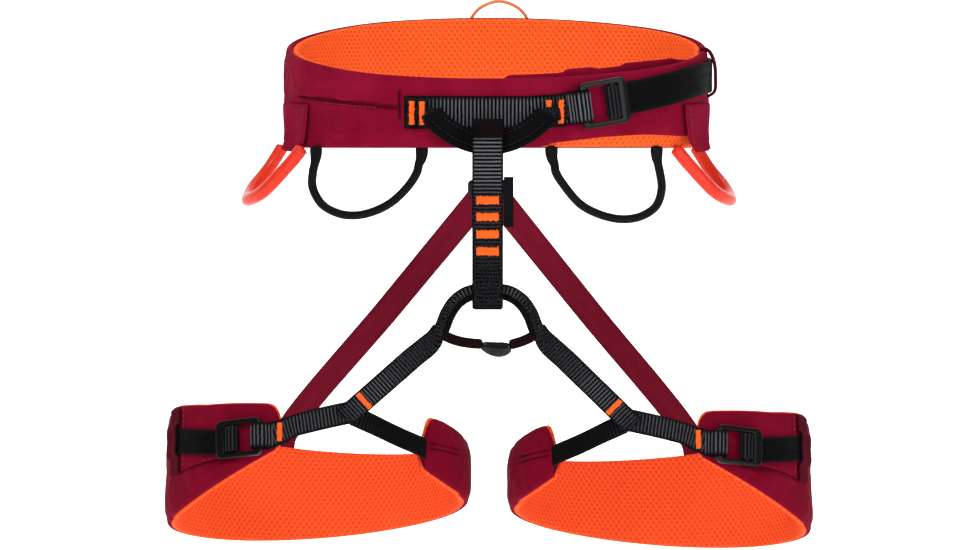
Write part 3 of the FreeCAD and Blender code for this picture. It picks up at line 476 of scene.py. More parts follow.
def woven_cloth(name, colour, shade, pitch=0.55):
    """Plain-weave shell cloth with soft tone changes and rubbed patches."""
    g = Graph(name, Specular_IOR_Level=0.02)
    across, along = g.cloth_uv()
    weave = g.wave(across, pitch) * g.wave(along, pitch)
    twill = g.wave(across + along, pitch * 2)
    broad = g.noise(g.uv_point(), 0.035, 4)
    fibre = g.noise(g.uv_point((1.0, 0.35, 1.0)), 2.2, 2)
    share = broad * 0.75 + weave * -0.28 + fibre * 0.22
    worn = g.ramp(g.noise(g.uv_point(), 0.11, 5, 0.65), 0.6, 0.8, 0.0, 0.12)
    base = g.mix(g.ramp(share, 0.1, 0.75), colour, shade)
    light = tuple(min(1.0, c * 1.7 + 0.012) for c in colour[:3]) + (1.0,)
    base = g.mix(worn, base, light)
    height = weave * 0.6 + twill * 0.25 + fibre * 0.5
    return g.finish(base, height, 0.09, g.ramp(broad, 0.2, 0.8, 0.72, 0.88))


def dotted_mesh(name, colour, hole_shade):
    """Orange spacer mesh: a fine knit with staggered rows of small perforations; the perforations and the
    knit's hollows are painted darker, as shade.
    """
    g = Graph(name, Specular_IOR_Level=0.04)
    across, along = g.cloth_uv()
    row = along / DOT_ROW
    stagger = g.calc("FLOOR", row + 400.0) % 2.0 * 0.5
    column = across / DOT_PITCH + stagger
    dx = (g.calc("FRACT", column) - 0.5) * DOT_PITCH
    dy = (g.calc("FRACT", row) - 0.5) * DOT_ROW
    lean = g.calc("MULTIPLY_ADD", dy, -0.45, dx)
    far = g.calc("SQRT", lean * lean + dy * dy * 0.55)
    dot = g.ramp(far, 0.82, 0.34)
    rim = g.ramp(far, 1.3, 0.7)
    knit = g.wave(across, 0.62) * g.wave(along + across, 0.62)
    broad = g.noise(g.uv_point(), 0.03, 3)
    base = g.mix(g.ramp(broad, 0.3, 0.75) * 0.35, colour, tuple(c * 0.8 for c in colour[:3]) + (1,))
    # painted shade in the knit's hollows, then in the perforations
    base = g.mix(knit * 0.12, base, hole_shade)
    base = g.mix(dot * 0.66, base, hole_shade)
    height = knit * 0.15 - (dot + rim * 0.35)
    return g.finish(base, height, 0.28, g.ramp(broad, 0.2, 0.8, 0.75, 0.9))


def ribbed_webbing(name, black, fleck_and_highlight, speckle=0.25):
    """Load webbing: a painted grey highlight on the crests of its ribs, as strong as the tone attribute,
    black between, fine speckle and fuzzy selvages.
    """
    g = Graph(name, Specular_IOR_Level=0.0)
    across, along = g.cloth_uv()
    tone, edge = g.attribute("tone"), g.attribute("edge")
    wander = (g.noise(g.uv_point(), 0.25, 2) - 0.5) * 0.5
    crest = g.wave(along + wander, RIB)
    crest = g.ramp(crest, 0.42, 0.86)
    yarn = g.wave(across, 0.8)
    fuzz = g.noise(g.uv_point((1.0, 0.6, 1.0)), 1.6, 3, 0.7)
    grain = g.ramp(g.noise(g.uv_point(), 1.15, 2, 0.6), 0.52, 0.68)
    inside = 1.0 - edge
    # stripe: the painted highlight on the rib crests, as strong as tone
    stripe = crest * tone * inside
    stripe = stripe * g.ramp(fuzz, 0.2, 0.7, 0.6, 1.0)
    fleck = grain * speckle * (1.0 - tone * 0.7)
    share = g.calc("MAXIMUM", stripe, fleck)
    base = g.mix(share, black, fleck_and_highlight)
    height = yarn * 0.45 + fuzz * 0.7
    return g.finish(base, height, 0.12, g.ramp(fuzz, 0.2, 0.8, 0.55, 0.8))


def smooth_webbing(name, black, light, pitch=0.7):
    """Flat adjusting webbing: fine lengthways yarns, lighter lengthways streaks that are partly wear and
    partly a painted soft shine, and a painted highlight on its rib crests where tone is set.
    """
    g = Graph(name, Specular_IOR_Level=0.02)
    across, along = g.cloth_uv()
    yarn = g.wave(across, pitch)
    pick = g.wave(along + across * 0.5, 0.9)
    broad = g.noise(g.uv_point((1.0, 0.2, 1.0)), 0.3, 3)
    # rubbed: lighter lengthways streaks, partly wear and partly a painted sheen
    rubbed = g.ramp(g.noise(g.uv_point((1.0, 0.3, 1.0)), 0.5, 4, 0.7), 0.55, 0.8, 0.0, 0.35)
    share = yarn * pick * 0.22 + rubbed
    share = share + g.attribute("edge") * 0.12
    # crest: a painted highlight on the rib crests, as strong as tone
    crest = g.ramp(g.wave(along, RIB), 0.45, 0.85)
    share = g.calc("MAXIMUM", share, crest * (g.attribute("tone") * 2.4))
    base = g.mix(share, black, light)
    height = yarn * 0.5 + pick * 0.5
    return g.finish(base, height, 0.06, g.ramp(broad, 0.25, 0.75, 0.42, 0.62))


def elastic_webbing(name, colour, shade):
    """Riser elastic: close crosswise ribs crossed by lengthways cords."""
    g = Graph(name, Specular_IOR_Level=0.03)
    across, along = g.cloth_uv()
    cords = g.wave(across, 1.5)
    picks = g.wave(along + cords * 0.3, 0.85)
    broad = g.noise(g.uv_point((1.0, 0.15, 1.0)), 0.2, 3)
    share = cords * picks * 0.35 + broad * 0.6
    base = g.mix(g.ramp(share, 0.2, 0.8), colour, shade)
    base = g.mix(g.attribute("edge") * 0.4, base, shade)
    height = cords * 0.5 + picks
    return g.finish(base, height, 0.1, g.ramp(broad, 0.2, 0.8, 0.6, 0.78))


def thread(name, colour, shade):
    """Twisted sewing thread."""
    g = Graph(name, Specular_IOR_Level=0.1)
    across, along = g.cloth_uv()
    twist = g.wave(across * 1.3 + along, 0.55)
    broad = g.noise(g.object_point(), 1.1, 2)
    base = g.mix(twist * 0.3 + broad * 0.4, colour, shade)
    return g.finish(base, twist, 0.05, g.ramp(broad, 0.2, 0.8, 0.45, 0.65))


def coated_metal(name, colour, worn):
    """Black anodised aluminium with rubbed flats and fine scratches."""
    g = Graph(name, Specular_IOR_Level=0.08, Coat_Weight=0.12, Coat_Roughness=0.06)
    point = g.object_point()
    scratch = g.noise(g.stretched(point, (0.3, 2.4, 2.4)), 1.1, 5, 0.7)
    patch = g.noise(point, 0.22, 4)
    rubbed = g.ramp(scratch, 0.58, 0.74) * g.ramp(patch, 0.4, 0.65, 0.1, 0.8)
    base = g.mix(rubbed, colour, worn)
    rough = g.ramp(patch, 0.3, 0.7, 0.2, 0.34) + scratch * 0.1
    return g.finish(base, g.noise(point, 3.0, 3), 0.012, rough)


def moulded(name, colour, shade, low, high, **shader):
    """Moulded plastic with a faint orange-peel surface and handling marks."""
    g = Graph(name, **shader)
    point = g.object_point()
    marks = g.noise(point, 0.35, 5, 0.65)
    peel = g.noise(point, 1.7, 2)
    base = g.mix(g.ramp(marks, 0.3, 0.75), colour, shade)
    return g.finish(base, peel + marks * 0.5, 0.03, g.ramp(marks, 0.3, 0.7, low, high))


DOT_PITCH = 4.0  # between perforations in a row
DOT_ROW = 2.5  # between rows
MAROON = linear(138, 16, 48)
MAROON_DARK = linear(108, 6, 33)
ORANGE = linear(252, 100, 42)
# the mesh's orange in painted shade, for its perforations
ORANGE_HOLE_SHADE = linear(200, 52, 20)
BLACK = linear(9, 8, 10)
# grey of the webbing's flecks and of the painted highlight on its rib crests
FLECK_AND_HIGHLIGHT_GREY = linear(98, 99, 104)

shell_cloth = woven_cloth("shell_cloth", MAROON, MAROON_DARK)
# a darker copy of the shell maroon for the leg pads: painted shade, as the legs get less light
leg_shaded_cloth = woven_cloth("leg_shaded_cloth", linear(123, 11, 40), linear(102, 5, 27))
# dark maroon of the keepers, also used as painted shade along the seams
keeper_and_seam_shade_cloth = woven_cloth("keeper_and_seam_shade_cloth", linear(84, 9, 28), linear(58, 4, 18))
sleeve_cloth = woven_cloth("sleeve_cloth", linear(15, 14, 16), linear(7, 7, 8), 0.5)
hood_cloth = woven_cloth("hood_cloth", linear(18, 11, 12), linear(8, 6, 7), 0.5)
mesh_cloth = dotted_mesh("mesh_cloth", ORANGE, ORANGE_HOLE_SHADE)
# a darker copy of the liner mesh for the leg loops: painted shade, as the legs get less light
leg_shaded_mesh_cloth = dotted_mesh("leg_shaded_mesh_cloth", linear(246, 86, 42), linear(192, 46, 20))
webbing_ribbed = ribbed_webbing("webbing_ribbed", BLACK, FLECK_AND_HIGHLIGHT_GREY)
# its grey serves the flecks and the painted highlight on the rib crests
webbing_speckled = ribbed_webbing("webbing_speckled", BLACK, linear(84, 84, 88), 0.55)
webbing_flat = smooth_webbing("webbing_flat", linear(6, 6, 7), linear(40, 40, 44))
# its lighter red streaks are partly wear and partly a painted brownish sheen
retainer_elastic = smooth_webbing("retainer_elastic", linear(14, 8, 9), linear(70, 18, 22), 1.1)
riser_elastic = elastic_webbing("riser_elastic", linear(112, 20, 42), linear(84, 11, 29))
thread_orange = thread("thread_orange", linear(255, 112, 40), linear(226, 76, 18))
thread_maroon = thread("thread_maroon", linear(156, 52, 78), linear(110, 20, 44))
thread_black = thread("thread_black", linear(44, 44, 48), linear(16, 16, 18))
buckle_metal = coated_metal("buckle_metal", linear(9, 9, 10), linear(44, 44, 46))
plastic_black = moulded("plastic_black", linear(14, 14, 15), linear(8, 8, 9), 0.16, 0.28,
                        Specular_IOR_Level=0.2, Coat_Weight=0.15)
rod_black = moulded("rod_black", linear(14, 14, 15), linear(9, 9, 10), 0.42, 0.58, Specular_IOR_Level=0.07)
plastic_orange = moulded("plastic_orange", linear(222, 54, 32), linear(204, 44, 28), 0.24, 0.38,
                         Subsurface_Weight=0.04, Subsurface_Scale=0.003, Specular_IOR_Level=0.2)
cord_orange = thread("cord_orange", linear(250, 150, 100), linear(226, 108, 62))
label_cloth = woven_cloth("label_cloth", linear(20, 20, 22), linear(11, 11, 12), 0.4)


# ---------------------------------------------------------------- padded rings
SLANT_REACH = 30.0  # a slanted end shifts the pad this far along it


def end_dip(radius, to_end):
    """How much lower a rounded corner stands at a distance from the end."""
    return radius - math.sqrt(max(radius ** 2 - max(radius - to_end, 0) ** 2, 0.0))


class Pad:
    """A padded band on a ring: edges and thickness as functions of the angle."""

    def __init__(self, ring, angles, top, bottom, insets, edge_insets, end_round, spacing, slant=None):
        self.ring = ring
        dense = np.linspace(*angles, 1400)
        places = np.array([ring.local(a) for a in dense])
        arc = np.concatenate([[0], np.cumsum(np.linalg.norm(np.diff(places, axis=0), axis=1))])
        count = int(arc[-1] / spacing)
        self.arc = np.linspace(0, arc[-1], count)
        self.angles = np.interp(self.arc, arc, dense)
        self.length = arc[-1]
        self.top, self.bottom = top, bottom
        self.insets, self.edge_insets = insets, edge_insets
        self.end_round = end_round  # radii at the start's top and bottom, then at the end's
        self.slant = slant  # how far the end's edge falls back at a height
        self.end_share = 0.3  # thickness left at the very ends

    def build(self, name, columns, rim=5):
        """Returns the object and, for each point, its angle, height, share up the face and face sign."""
        points, uv, data = [], [], []
        for arc, angle in zip(self.arc, self.angles):
            rest = self.length - arc
            to_end = min(arc, rest)
            radii = self.end_round
            high = self.top(angle) - max(end_dip(radii[0], arc), end_dip(radii[2], rest))
            low = self.bottom(angle) + max(end_dip(radii[1], arc), end_dip(radii[3], rest))
            thin = self.end_share + (1 - self.end_share) * math.sqrt(min(to_end / 3.5, 1.0))
            outer, inner = self.insets
            middle = (outer + inner) / 2
            edge_outer, edge_inner = self.edge_insets
            near = [middle + (x - middle) * thin for x in (outer, inner, edge_outer, edge_inner)]
            half = (near[3] - near[2]) / 2
            spine = (near[3] + near[2]) / 2
            flat = high - low - 2 * half
            section = []
            sides = ((1, near[0], near[2], high - half), (-1, near[1], near[3], low + half))
            for face, skin, edge, level in sides:
                for k in np.linspace(0, 1, columns)[::face]:
                    bow = abs(2 * k - 1) ** 5
                    section.append((skin + (edge - skin) * bow, low + half + flat * k, k, face))
                for turn in np.linspace(0, math.pi, rim + 2)[1:-1]:
                    cap = (spine - face * half * math.cos(turn), level + face * half * math.sin(turn))
                    section.append((*cap, int(face > 0), 0))
            for inset, height, share, face in section:
                turn = angle
                if self.slant and rest < SLANT_REACH:
                    back = self.slant(height) * (1 - rest / SLANT_REACH)
                    turn = angle - back * self.ring.degrees_per_mm(angle)
                points.append(self.ring.place(turn, -inset, height))
                uv.append((arc, height))
                data.append((angle, height, share, face))
        rows = len(self.arc)
        made = mesh_object(name, points, grid_faces(rows, len(points) // rows), uv,
                           tone=[0] * len(points), edge=[0] * len(points))
        return made, np.array(data)


def push(piece, ring, data, depth):
    """Moves each point of a pad along its ring's normal by depth(angle, height, face)."""
    for vertex, (angle, height, _, face) in zip(piece.data.vertices, data):
        amount = depth(angle, height, face)
        if amount:
            vertex.co += ring.out(angle) * (amount * MM)


CLOTH_FRAMES = 18


def simulate(piece, pinned, pressure, growth, cap):
    """Cloth simulation of a stuffed cover, cut a little large; seams are pinned and travel is capped."""
    mesh = piece.data
    rest = np.array([v.co for v in mesh.vertices])
    group = piece.vertex_groups.new(name="seams")
    group.add([int(i) for i in np.flatnonzero(pinned)], 1.0, "REPLACE")
    cloth = piece.modifiers.new("cover", "CLOTH")
    settings = cloth.settings
    settings.quality = 6
    settings.mass = 0.15
    settings.tension_stiffness = settings.compression_stiffness = 12
    settings.shear_stiffness = 6
    settings.bending_stiffness = 0.05
    settings.shrink_min = -growth
    settings.use_pressure = True
    settings.uniform_pressure_force = pressure
    settings.vertex_group_mass = group.name
    settings.effector_weights.gravity = 0
    scene = bpy.context.scene
    scene.frame_end = max(scene.frame_end, CLOTH_FRAMES)
    for number in range(1, CLOTH_FRAMES + 1):
        scene.frame_set(number)
    evaluated = piece.evaluated_get(bpy.context.evaluated_depsgraph_get())
    moved = np.array([v.co for v in evaluated.data.vertices])
    travel = moved - rest
    length = np.linalg.norm(travel, axis=1)[:, None]
    travel *= np.minimum(1, cap * MM / np.maximum(length, 1e-9))
    piece.modifiers.remove(cloth)
    piece.vertex_groups.remove(group)
    mesh.vertices.foreach_set("co", (rest + travel).ravel())
    mesh.update()
    scene.frame_set(1)


def finish_pad(piece, body, material, replaces):
    """Smooths and finishes a padded piece."""
    modifier = piece.modifiers.new("smooth", "SUBSURF")
    modifier.levels = modifier.render_levels = 1
    finish_piece(piece, body, material, replaces)


# ---------------------------------------------------------------- waist belt
# The waist webbing's middle: belt angle and height
LINE = ((-112, -5), (-80, -5), (-71, -3.7), (-60, 0.3), (-46, 4.8), (-25, 11.6), (-10, 13.2), (0, 14),
        (24, 16))
SLIT = 9.6  # the belt's front slit is at this x
LEFT_CREASE = -66.4  # the upright crease at the left end of the webbing, as a left ring angle
WAIST_TOP, WAIST_TOP_SLOPE = 31.0, 0.17
WAIST_BOTTOM, WAIST_BOTTOM_SLOPE = -30.5, -0.052


def line_height(angle):
    """Height of the waist webbing's middle at a belt angle."""
    return float(np.interp(angle, [a for a, _ in LINE], [h for _, h in LINE]))


def waist_top(angle):
    """Height of the belt's top edge at a belt angle; its bottom edge is the same kind of line."""
    return WAIST_TOP + WAIST_TOP_SLOPE * WAIST.local(angle).y


def waist_bottom(angle):
    return WAIST_BOTTOM + WAIST_BOTTOM_SLOPE * WAIST.local(angle).y


def shell_rise(angle):
    """The shell's bottom edge stands higher right of the tie-in point and shows the liner."""
    place = WAIST.local(angle)
    if place.y > 0:
        return float(np.interp(place.y, (0, 22), (6.5, 0)))
    return float(np.interp(place.x, (30, 38, 68, 92, 131), (0, 2.8, 6.2, 7.8, 6.5)))


def gaussian(distance, width):
    return math.exp(-(distance / width) ** 2)


WAIST_SEAMS = (((-66, -2.6), (-54.8, -0.8), (-38, 1.2), (-23, 2.1)),
               ((LEFT_CREASE, -9), (LEFT_CREASE, 0), (LEFT_CREASE, 8)))  # left ring angle and height


def waist_seams(angle, height, face):
    """Grooves and folds sewn into the belt's outer face."""
    if face < 0:
        return 0.0
    left = -180 - angle if angle < -90 else 180 - angle  # the same angle counted on the left ring
    depth = 0.0
    if -68 < left < -20:
        seam = np.interp(left, (-66, -54.8, -23.6), (-2.4, -0.6, 2.1))
        depth -= 1.5 * gaussian(height - seam, 1.1) * min(1.0, (left + 68) / 8)
        depth += 0.8 * gaussian(height - seam - 2.8, 1.8)
    if abs(left - LEFT_CREASE) < 3 and -10 < height < 9:
        depth -= 0.9 * gaussian((left - LEFT_CREASE) * 2, 1.2)
    return depth


def build_waist_pad():
    start, end = WAIST.angle_at(SLIT - 2), WAIST.angle_at(SLIT + 2) + 360
    pad = Pad(WAIST, (start, end), waist_top, lambda a: waist_bottom(a) + shell_rise(a),
              (0.0, 8.6), (1.0, 4.9), (0.4,) * 4, 2.0)
    pad.end_share = 0.92
    piece, data = pad.build("waist_pad", 40)
    angle, height, share, face = data.T
    line = np.interp((angle + 180) % 360 - 180, [a for a, _ in LINE], [h for _, h in LINE], -99, -99)
    under = np.abs(height - line) < 11.5
    seam = (share < 0.1) | (share > 0.9) | (face <= 0)
    around = (angle + 180) % 360 - 180
    left = np.where(around < 0, -180 - around, 180 - around)
    patches = (np.abs(height + 14.5) < 14) & ((np.abs(around + 26) < 10) | (np.abs(left + 26) < 10)
                                             | (np.abs(around - 13) < 7) | (np.abs(left - 13) < 7))
    back = (np.abs(around - 87) < 13) & (height > 18) | (np.abs(around - 90) < 7)
    simulate(piece, under | seam | patches | back, 1.0, 0.014, 0.8)
    push(piece, WAIST, data, waist_seams)
    covered = ("waist_shell", "waist_foam", "waist_load_tape")
    finish_pad(piece, "waist_belt", shell_cloth, covered)
    # dark rods along the seams: painted shade of the seam folds
    for number, line in enumerate(WAIST_SEAMS):
        seam_shade_rod(f"waist_seam_{number + 1}", WAIST, [(-180 - a, h) for a, h in line], "waist_belt")


def seam_shade_rod(name, ring, line, body, radius=0.5):
    """A thin rod along a seam, in dark keeper cloth that paints the shade of the seam's fold; line holds
    (angle, height).
    """
    steps = np.linspace(0, len(line) - 1, 4 * len(line))
    angles, heights = (np.interp(steps, range(len(line)), column) for column in zip(*line))
    spots = [(ring.place(a, 0.1, h), ring.out(a), radius, radius) for a, h in zip(angles, heights)]
    finish_piece(rod(name, spots, 8, 0.8), body, keeper_and_seam_shade_cloth)


def build_waist_liner():
    """The mesh face against the body: it stops short of the rim, except where it shows under the shell."""
    start, end = WAIST.angle_at(SLIT + 0.5), WAIST.angle_at(SLIT - 0.5) + 360

    def low(angle):
        return waist_bottom(angle) + (0.8 if shell_rise(angle) <= 0 else 0.2)

    def high(angle):
        around = (angle + 180) % 360 - 180
        return waist_top(angle) - 0.4 - float(np.interp(around, (-78, -62, -14, -4), (0, 4.5, 4.5, 0)))

    pad = Pad(WAIST, (start, end), high, low, (3.2, 9.0), (4.9, 8.9), (0.8,) * 4, 2.6)
    piece, _ = pad.build("waist_mesh_liner", 14, 3)
    finish_pad(piece, "waist_belt", mesh_cloth, ("waist_liner",))


TONGUE_SPAN = (2, 127.6)  # x of its ends


def tongue_top(angle):
    """The closure tongue stands over the belt's edge in uneven steps."""
    rises = (-1.0, 1.8, 2, 4, 4, 2.8, 3, 4.4, 3.6, 2, -3)
    rise = np.interp(WAIST.local(angle).x, (8, 12, 46, 48, 65, 67, 83, 85, 100, 115, 127), rises)
    return waist_top(angle) + float(rise)


def build_tongue():
    """The padded overlap behind the slit."""
    angles = (WAIST.angle_at(TONGUE_SPAN[0]), WAIST.angle_at(TONGUE_SPAN[1]))
    pad = Pad(WAIST, angles, tongue_top, lambda a: waist_bottom(a) + 1.5,
              (9.5, 12.2), (9.8, 12.0), (3.0,) * 4, 2.2)
    piece, _ = pad.build("closure_tongue", 14, 3)
    finish_pad(piece, "waist_belt", shell_cloth, ("waist_tongue",))


# ---------------------------------------------------------------- buckles and their straps
WEBBING, STRAP = 1.8, 1.0  # load webbing and adjusting strap thickness
GAP = 0.3
WEBBING_LOW = GAP + WEBBING / 2
STRAP_LOW = GAP + STRAP / 2
STRAP_HIGH = STRAP_LOW + STRAP + 0.2
BUCKLE_BAR = 4.2  # width of the fixed bar
BUCKLE_LIFT = 2.8  # the frame's middle stands this far out


def fold_steps(bar):
    """Webbing under the fixed bar, round it and back over itself: distance along, distance out."""
    steps = ((-4, WEBBING_LOW), (1.8, WEBBING_LOW), (4.0, 2.2), (4.6, 4.9), (4.1, 7.3), (2.0, 8.2),
             (-2.2, 8.0), (-4.5, 5.6), (-6, 4.2), (-7.4, 3.6))
    return [(bar + along, out) for along, out in steps]


def wrap_steps(slider):
    """A smooth strap in under the slider, round it and away on top of itself."""
    steps = ((12, STRAP_LOW), (0, STRAP_LOW), (-2.4, 1.3), (-3.7, 2.8), (-3.9, 4.7), (-3.3, 6.5), (-1.5, 7.2),
             (1.2, 7.2), (2.6, 6.4), (2.9, 4.6), (3.3, 3.1), (5.2, STRAP_HIGH + 0.1), (12, STRAP_HIGH))
    return [(slider + along, out) for along, out in steps]


class Buckle:
    """A sliding buckle on a ring: steps along it are counted from its middle."""

    def __init__(self, ring, length, angle, height, roll, slider):
        self.ring, self.angle, self.height, self.roll, self.slider = ring, angle, height, roll, slider
        self.bar = -(length - BUCKLE_BAR) / 2
        self.frame = ring.frame(angle, BUCKLE_LIFT, height, roll)

    def near(self, steps, tone, rib):
        """Strap spots at the buckle, with the rolled width direction."""
        step = self.ring.degrees_per_mm(self.angle)
        rise = math.tan(math.radians(self.roll))
        across = self.frame.to_3x3() @ Vector((0, self.ring.side, 0))
        return [(self.ring.place(self.angle + s * step, out, self.height + s * rise), across, tone, rib)
                for s, out in steps]

    def wrapped(self, tone):
        """Spots of the smooth strap round the slider; away from the slider it shows no ribs and no painted
        crest highlight.
        """
        spots = self.near(wrap_steps(self.slider), tone, 1)
        for i in (0, 1, -2, -1):
            spots[i] = spots[i][:2] + (0.0, 0.0)
        return spots


WAIST_BUCKLE = Buckle(WAIST, 31, -60, 0.3, 8.5, 5.8)
LEG_BUCKLES = {side: Buckle(ring, 30, -63.3, 5.6, -2, 5.2) for side, ring in LEGS.items()}
BELT_WIDTH, LEG_WIDTH = 19.0, 15.0
UP, FRONT = Vector((0, 0, 1)), Vector((0, -1, 0))


def belt_spots(angles, out, tones, rib=1.0):
    """Strap spots along the waist webbing's line."""
    return [(WAIST.place(a, out, line_height(a)), UP, tone, rib) for a, tone in zip(angles, tones)]


def build_waist_straps():
    """The ribbed load webbing, the smooth adjusting strap and the sleeve that holds its tail."""
    angles = (-112, -109, -106, -104, -100, -95, -90, -85, -80, -76.5, -74, -72)
    # how strong the painted crest highlight is: faint at the far end, full across the front, weaker near the
    # buckle
    tones = (0.1, 0.15, 0.2, 0.7, 1, 1, 1, 1, 1, 0.9, 0.35, 0.6)
    spots = belt_spots(angles, WEBBING_LOW, tones) + WAIST_BUCKLE.near(fold_steps(WAIST_BUCKLE.bar), 0.95, 1)
    finish_piece(strap("waist_webbing_ribbed", spots, BELT_WIDTH, WEBBING),
                 "waist_belt", webbing_ribbed, ("waist_webbing",))

    angles = (-46, -40, -34, -28, -22, -16, -10, -5, 0, 5, 10, 15, 20)
    spots = belt_spots(angles[::-1], STRAP_LOW, [0] * 13, 0) + WAIST_BUCKLE.wrapped(0.9)
    spots += belt_spots(angles[:-1], STRAP_HIGH, [0] * 12, 0)
    finish_piece(strap("waist_adjust_strap", spots, BELT_WIDTH, STRAP, 0.12, samples=3),
                 "waist_belt", webbing_flat, ("waist_strap",))

    out = STRAP_HIGH + STRAP / 2 + GAP + 1.1
    heights = ((29.4, -5), (30.0, -2.6), (28.8, 0), (25.6, 2.2), (20, out), (12, out + 0.5), (7, out + 0.5),
               (3.8, out - 0.3), (1.8, 1.0), (1.0, -0.8))
    tangent = WAIST.place(-3, 0, 0) - WAIST.place(-5, 0, 0)
    spots = [(WAIST.place(-4, o, h), tangent, 0, 0) for h, o in heights]
    finish_piece(strap("strap_keeper", spots, 10.4, 1.9, 0),
                 "waist_belt", keeper_and_seam_shade_cloth, ("waist_strap_keeper",))


# ---------------------------------------------------------------- upper tie-in loop
TIE_IN = Vector((0, -108.5, -22.8))
TIE_IN_UP = unit((0, 7.5, 13.5))
TIE_IN_RADIUS = 49.7
TIE_IN_HALF = 43  # half of the arc, in degrees
TIE_IN_LIFT = 0.0046  # its ends stand higher than the arc, by this times the square of x
TIE_IN_SEAT = WEBBING_LOW + WEBBING / 2 + GAP + 1.4
# The four tacks beside the loop: x, distance out and height
WAIST_TACKS = ((-43.2, 1.2, -5), (-36.8, 4.2, -5), (33.4, 1.2, -4.4), (40.6, 0.1, -4.4))


def tie_in_arc(half_angle, count, shift=0.0, forward=0.0):
    """Spots of the loop's arc; shift moves them across it and forward to its front."""
    front = unit(TIE_IN_UP.cross(Vector((1, 0, 0)))) * -1
    spots = []
    for i in range(count):
        turn = math.radians(half_angle * (2 * i / (count - 1) - 1))
        radial = Vector((math.sin(turn), 0, 0)) - TIE_IN_UP * math.cos(turn)
        place = TIE_IN + TIE_IN_UP * TIE_IN_RADIUS + radial * (TIE_IN_RADIUS + shift) + front * forward
        place.z += TIE_IN_LIFT * place.x ** 2
        spots.append((place, radial * -1, front))
    return spots


def build_tie_in():
    """The loop's webbing, its sewn sleeve and the tacks that hold it on the waist webbing."""
    ends = [WAIST.place(WAIST.angle_at(x), TIE_IN_SEAT + more, -5) for x, more in
            ((-46.5, 0), (-42, 0.2), (42, 0.2), (44.9, 0))]
    arc = tie_in_arc(TIE_IN_HALF, 15)
    # a faint painted crest highlight all along the loop's webbing
    spots = [(place, UP, 0.1) for place in ends[:2]] + [(p, a, 0.1) for p, a, _ in arc]
    spots += [(place, UP, 0.1) for place in ends[2:]]
    finish_piece(strap("tie_in_core", spots, 8.7, 2.8),
                 "waist_belt", webbing_speckled, ("tie_in_webbing",))
    arc = tie_in_arc(TIE_IN_HALF + 1, 19, -0.6)
    spots = [(p, a, 6.9, 2.6) for p, a, _ in arc]
    finish_piece(rod("tie_in_cover", spots, 28, 1.2, 2.9),
                 "waist_belt", sleeve_cloth, ("tie_in_sleeve",))
    segments = []
    for shift in (3.4, -4.6):
        line = tie_in_arc(TIE_IN_HALF - 4, 15, shift, 2.45)
        segments += stitch_line([p for p, _, _ in line], [f for _, _, f in line], 1.9, 1.0)
    finish_piece(stitches("tie_in_stitching", segments, 0.22), "waist_belt", thread_black)
    line = tie_in_arc(TIE_IN_HALF - 3, 15, 5.6, 1.7)
    finish_piece(rod("tie_in_piping", [(p, a, 0.8, 0.8) for p, a, _ in line], 10, 1.4),
                 "waist_belt", sleeve_cloth)

    segments = []
    for seed, (x, out, height) in enumerate(WAIST_TACKS):
        base = WAIST.frame(WAIST.angle_at(x), TIE_IN_SEAT + 1.8 + out, height)
        segments += bar_tack(base, 3.4, 13.5, seed=seed)
    finish_piece(stitches("waist_tack_threads", segments, 0.42),
                 "waist_belt", thread_orange, ("waist_bar_tacks",))


# ---------------------------------------------------------------- belay loop and tag
BELAY_X, BELAY_WIDTH, BELAY_TOP, BELAY_BOTTOM = -0.8, 18.0, -8.7, -118.7
BELAY_GAP, BELAY_THICK = 13.0, 3.8
BELAY_TACKS = (-54.4, -64.0, -74.0, -83.9)  # heights


def belay_path(radius):
    """Round the loop from its front's top: (y, z) places on a stadium."""
    top, bottom = BELAY_TOP - BELAY_GAP / 2 - BELAY_THICK, BELAY_BOTTOM + BELAY_GAP / 2 + BELAY_THICK
    path = [(-radius, top + (bottom - top) * i / 8) for i in range(9)]
    path += [(-radius * math.cos(t), bottom - radius * math.sin(t)) for t in np.linspace(0, math.pi, 7)[1:-1]]
    path += [(radius, bottom + (top - bottom) * i / 8) for i in range(9)]
    path += [(-radius * math.cos(t), top + radius * math.sin(t)) for t in np.linspace(math.pi, 0, 7)[1:-1]]
    return path


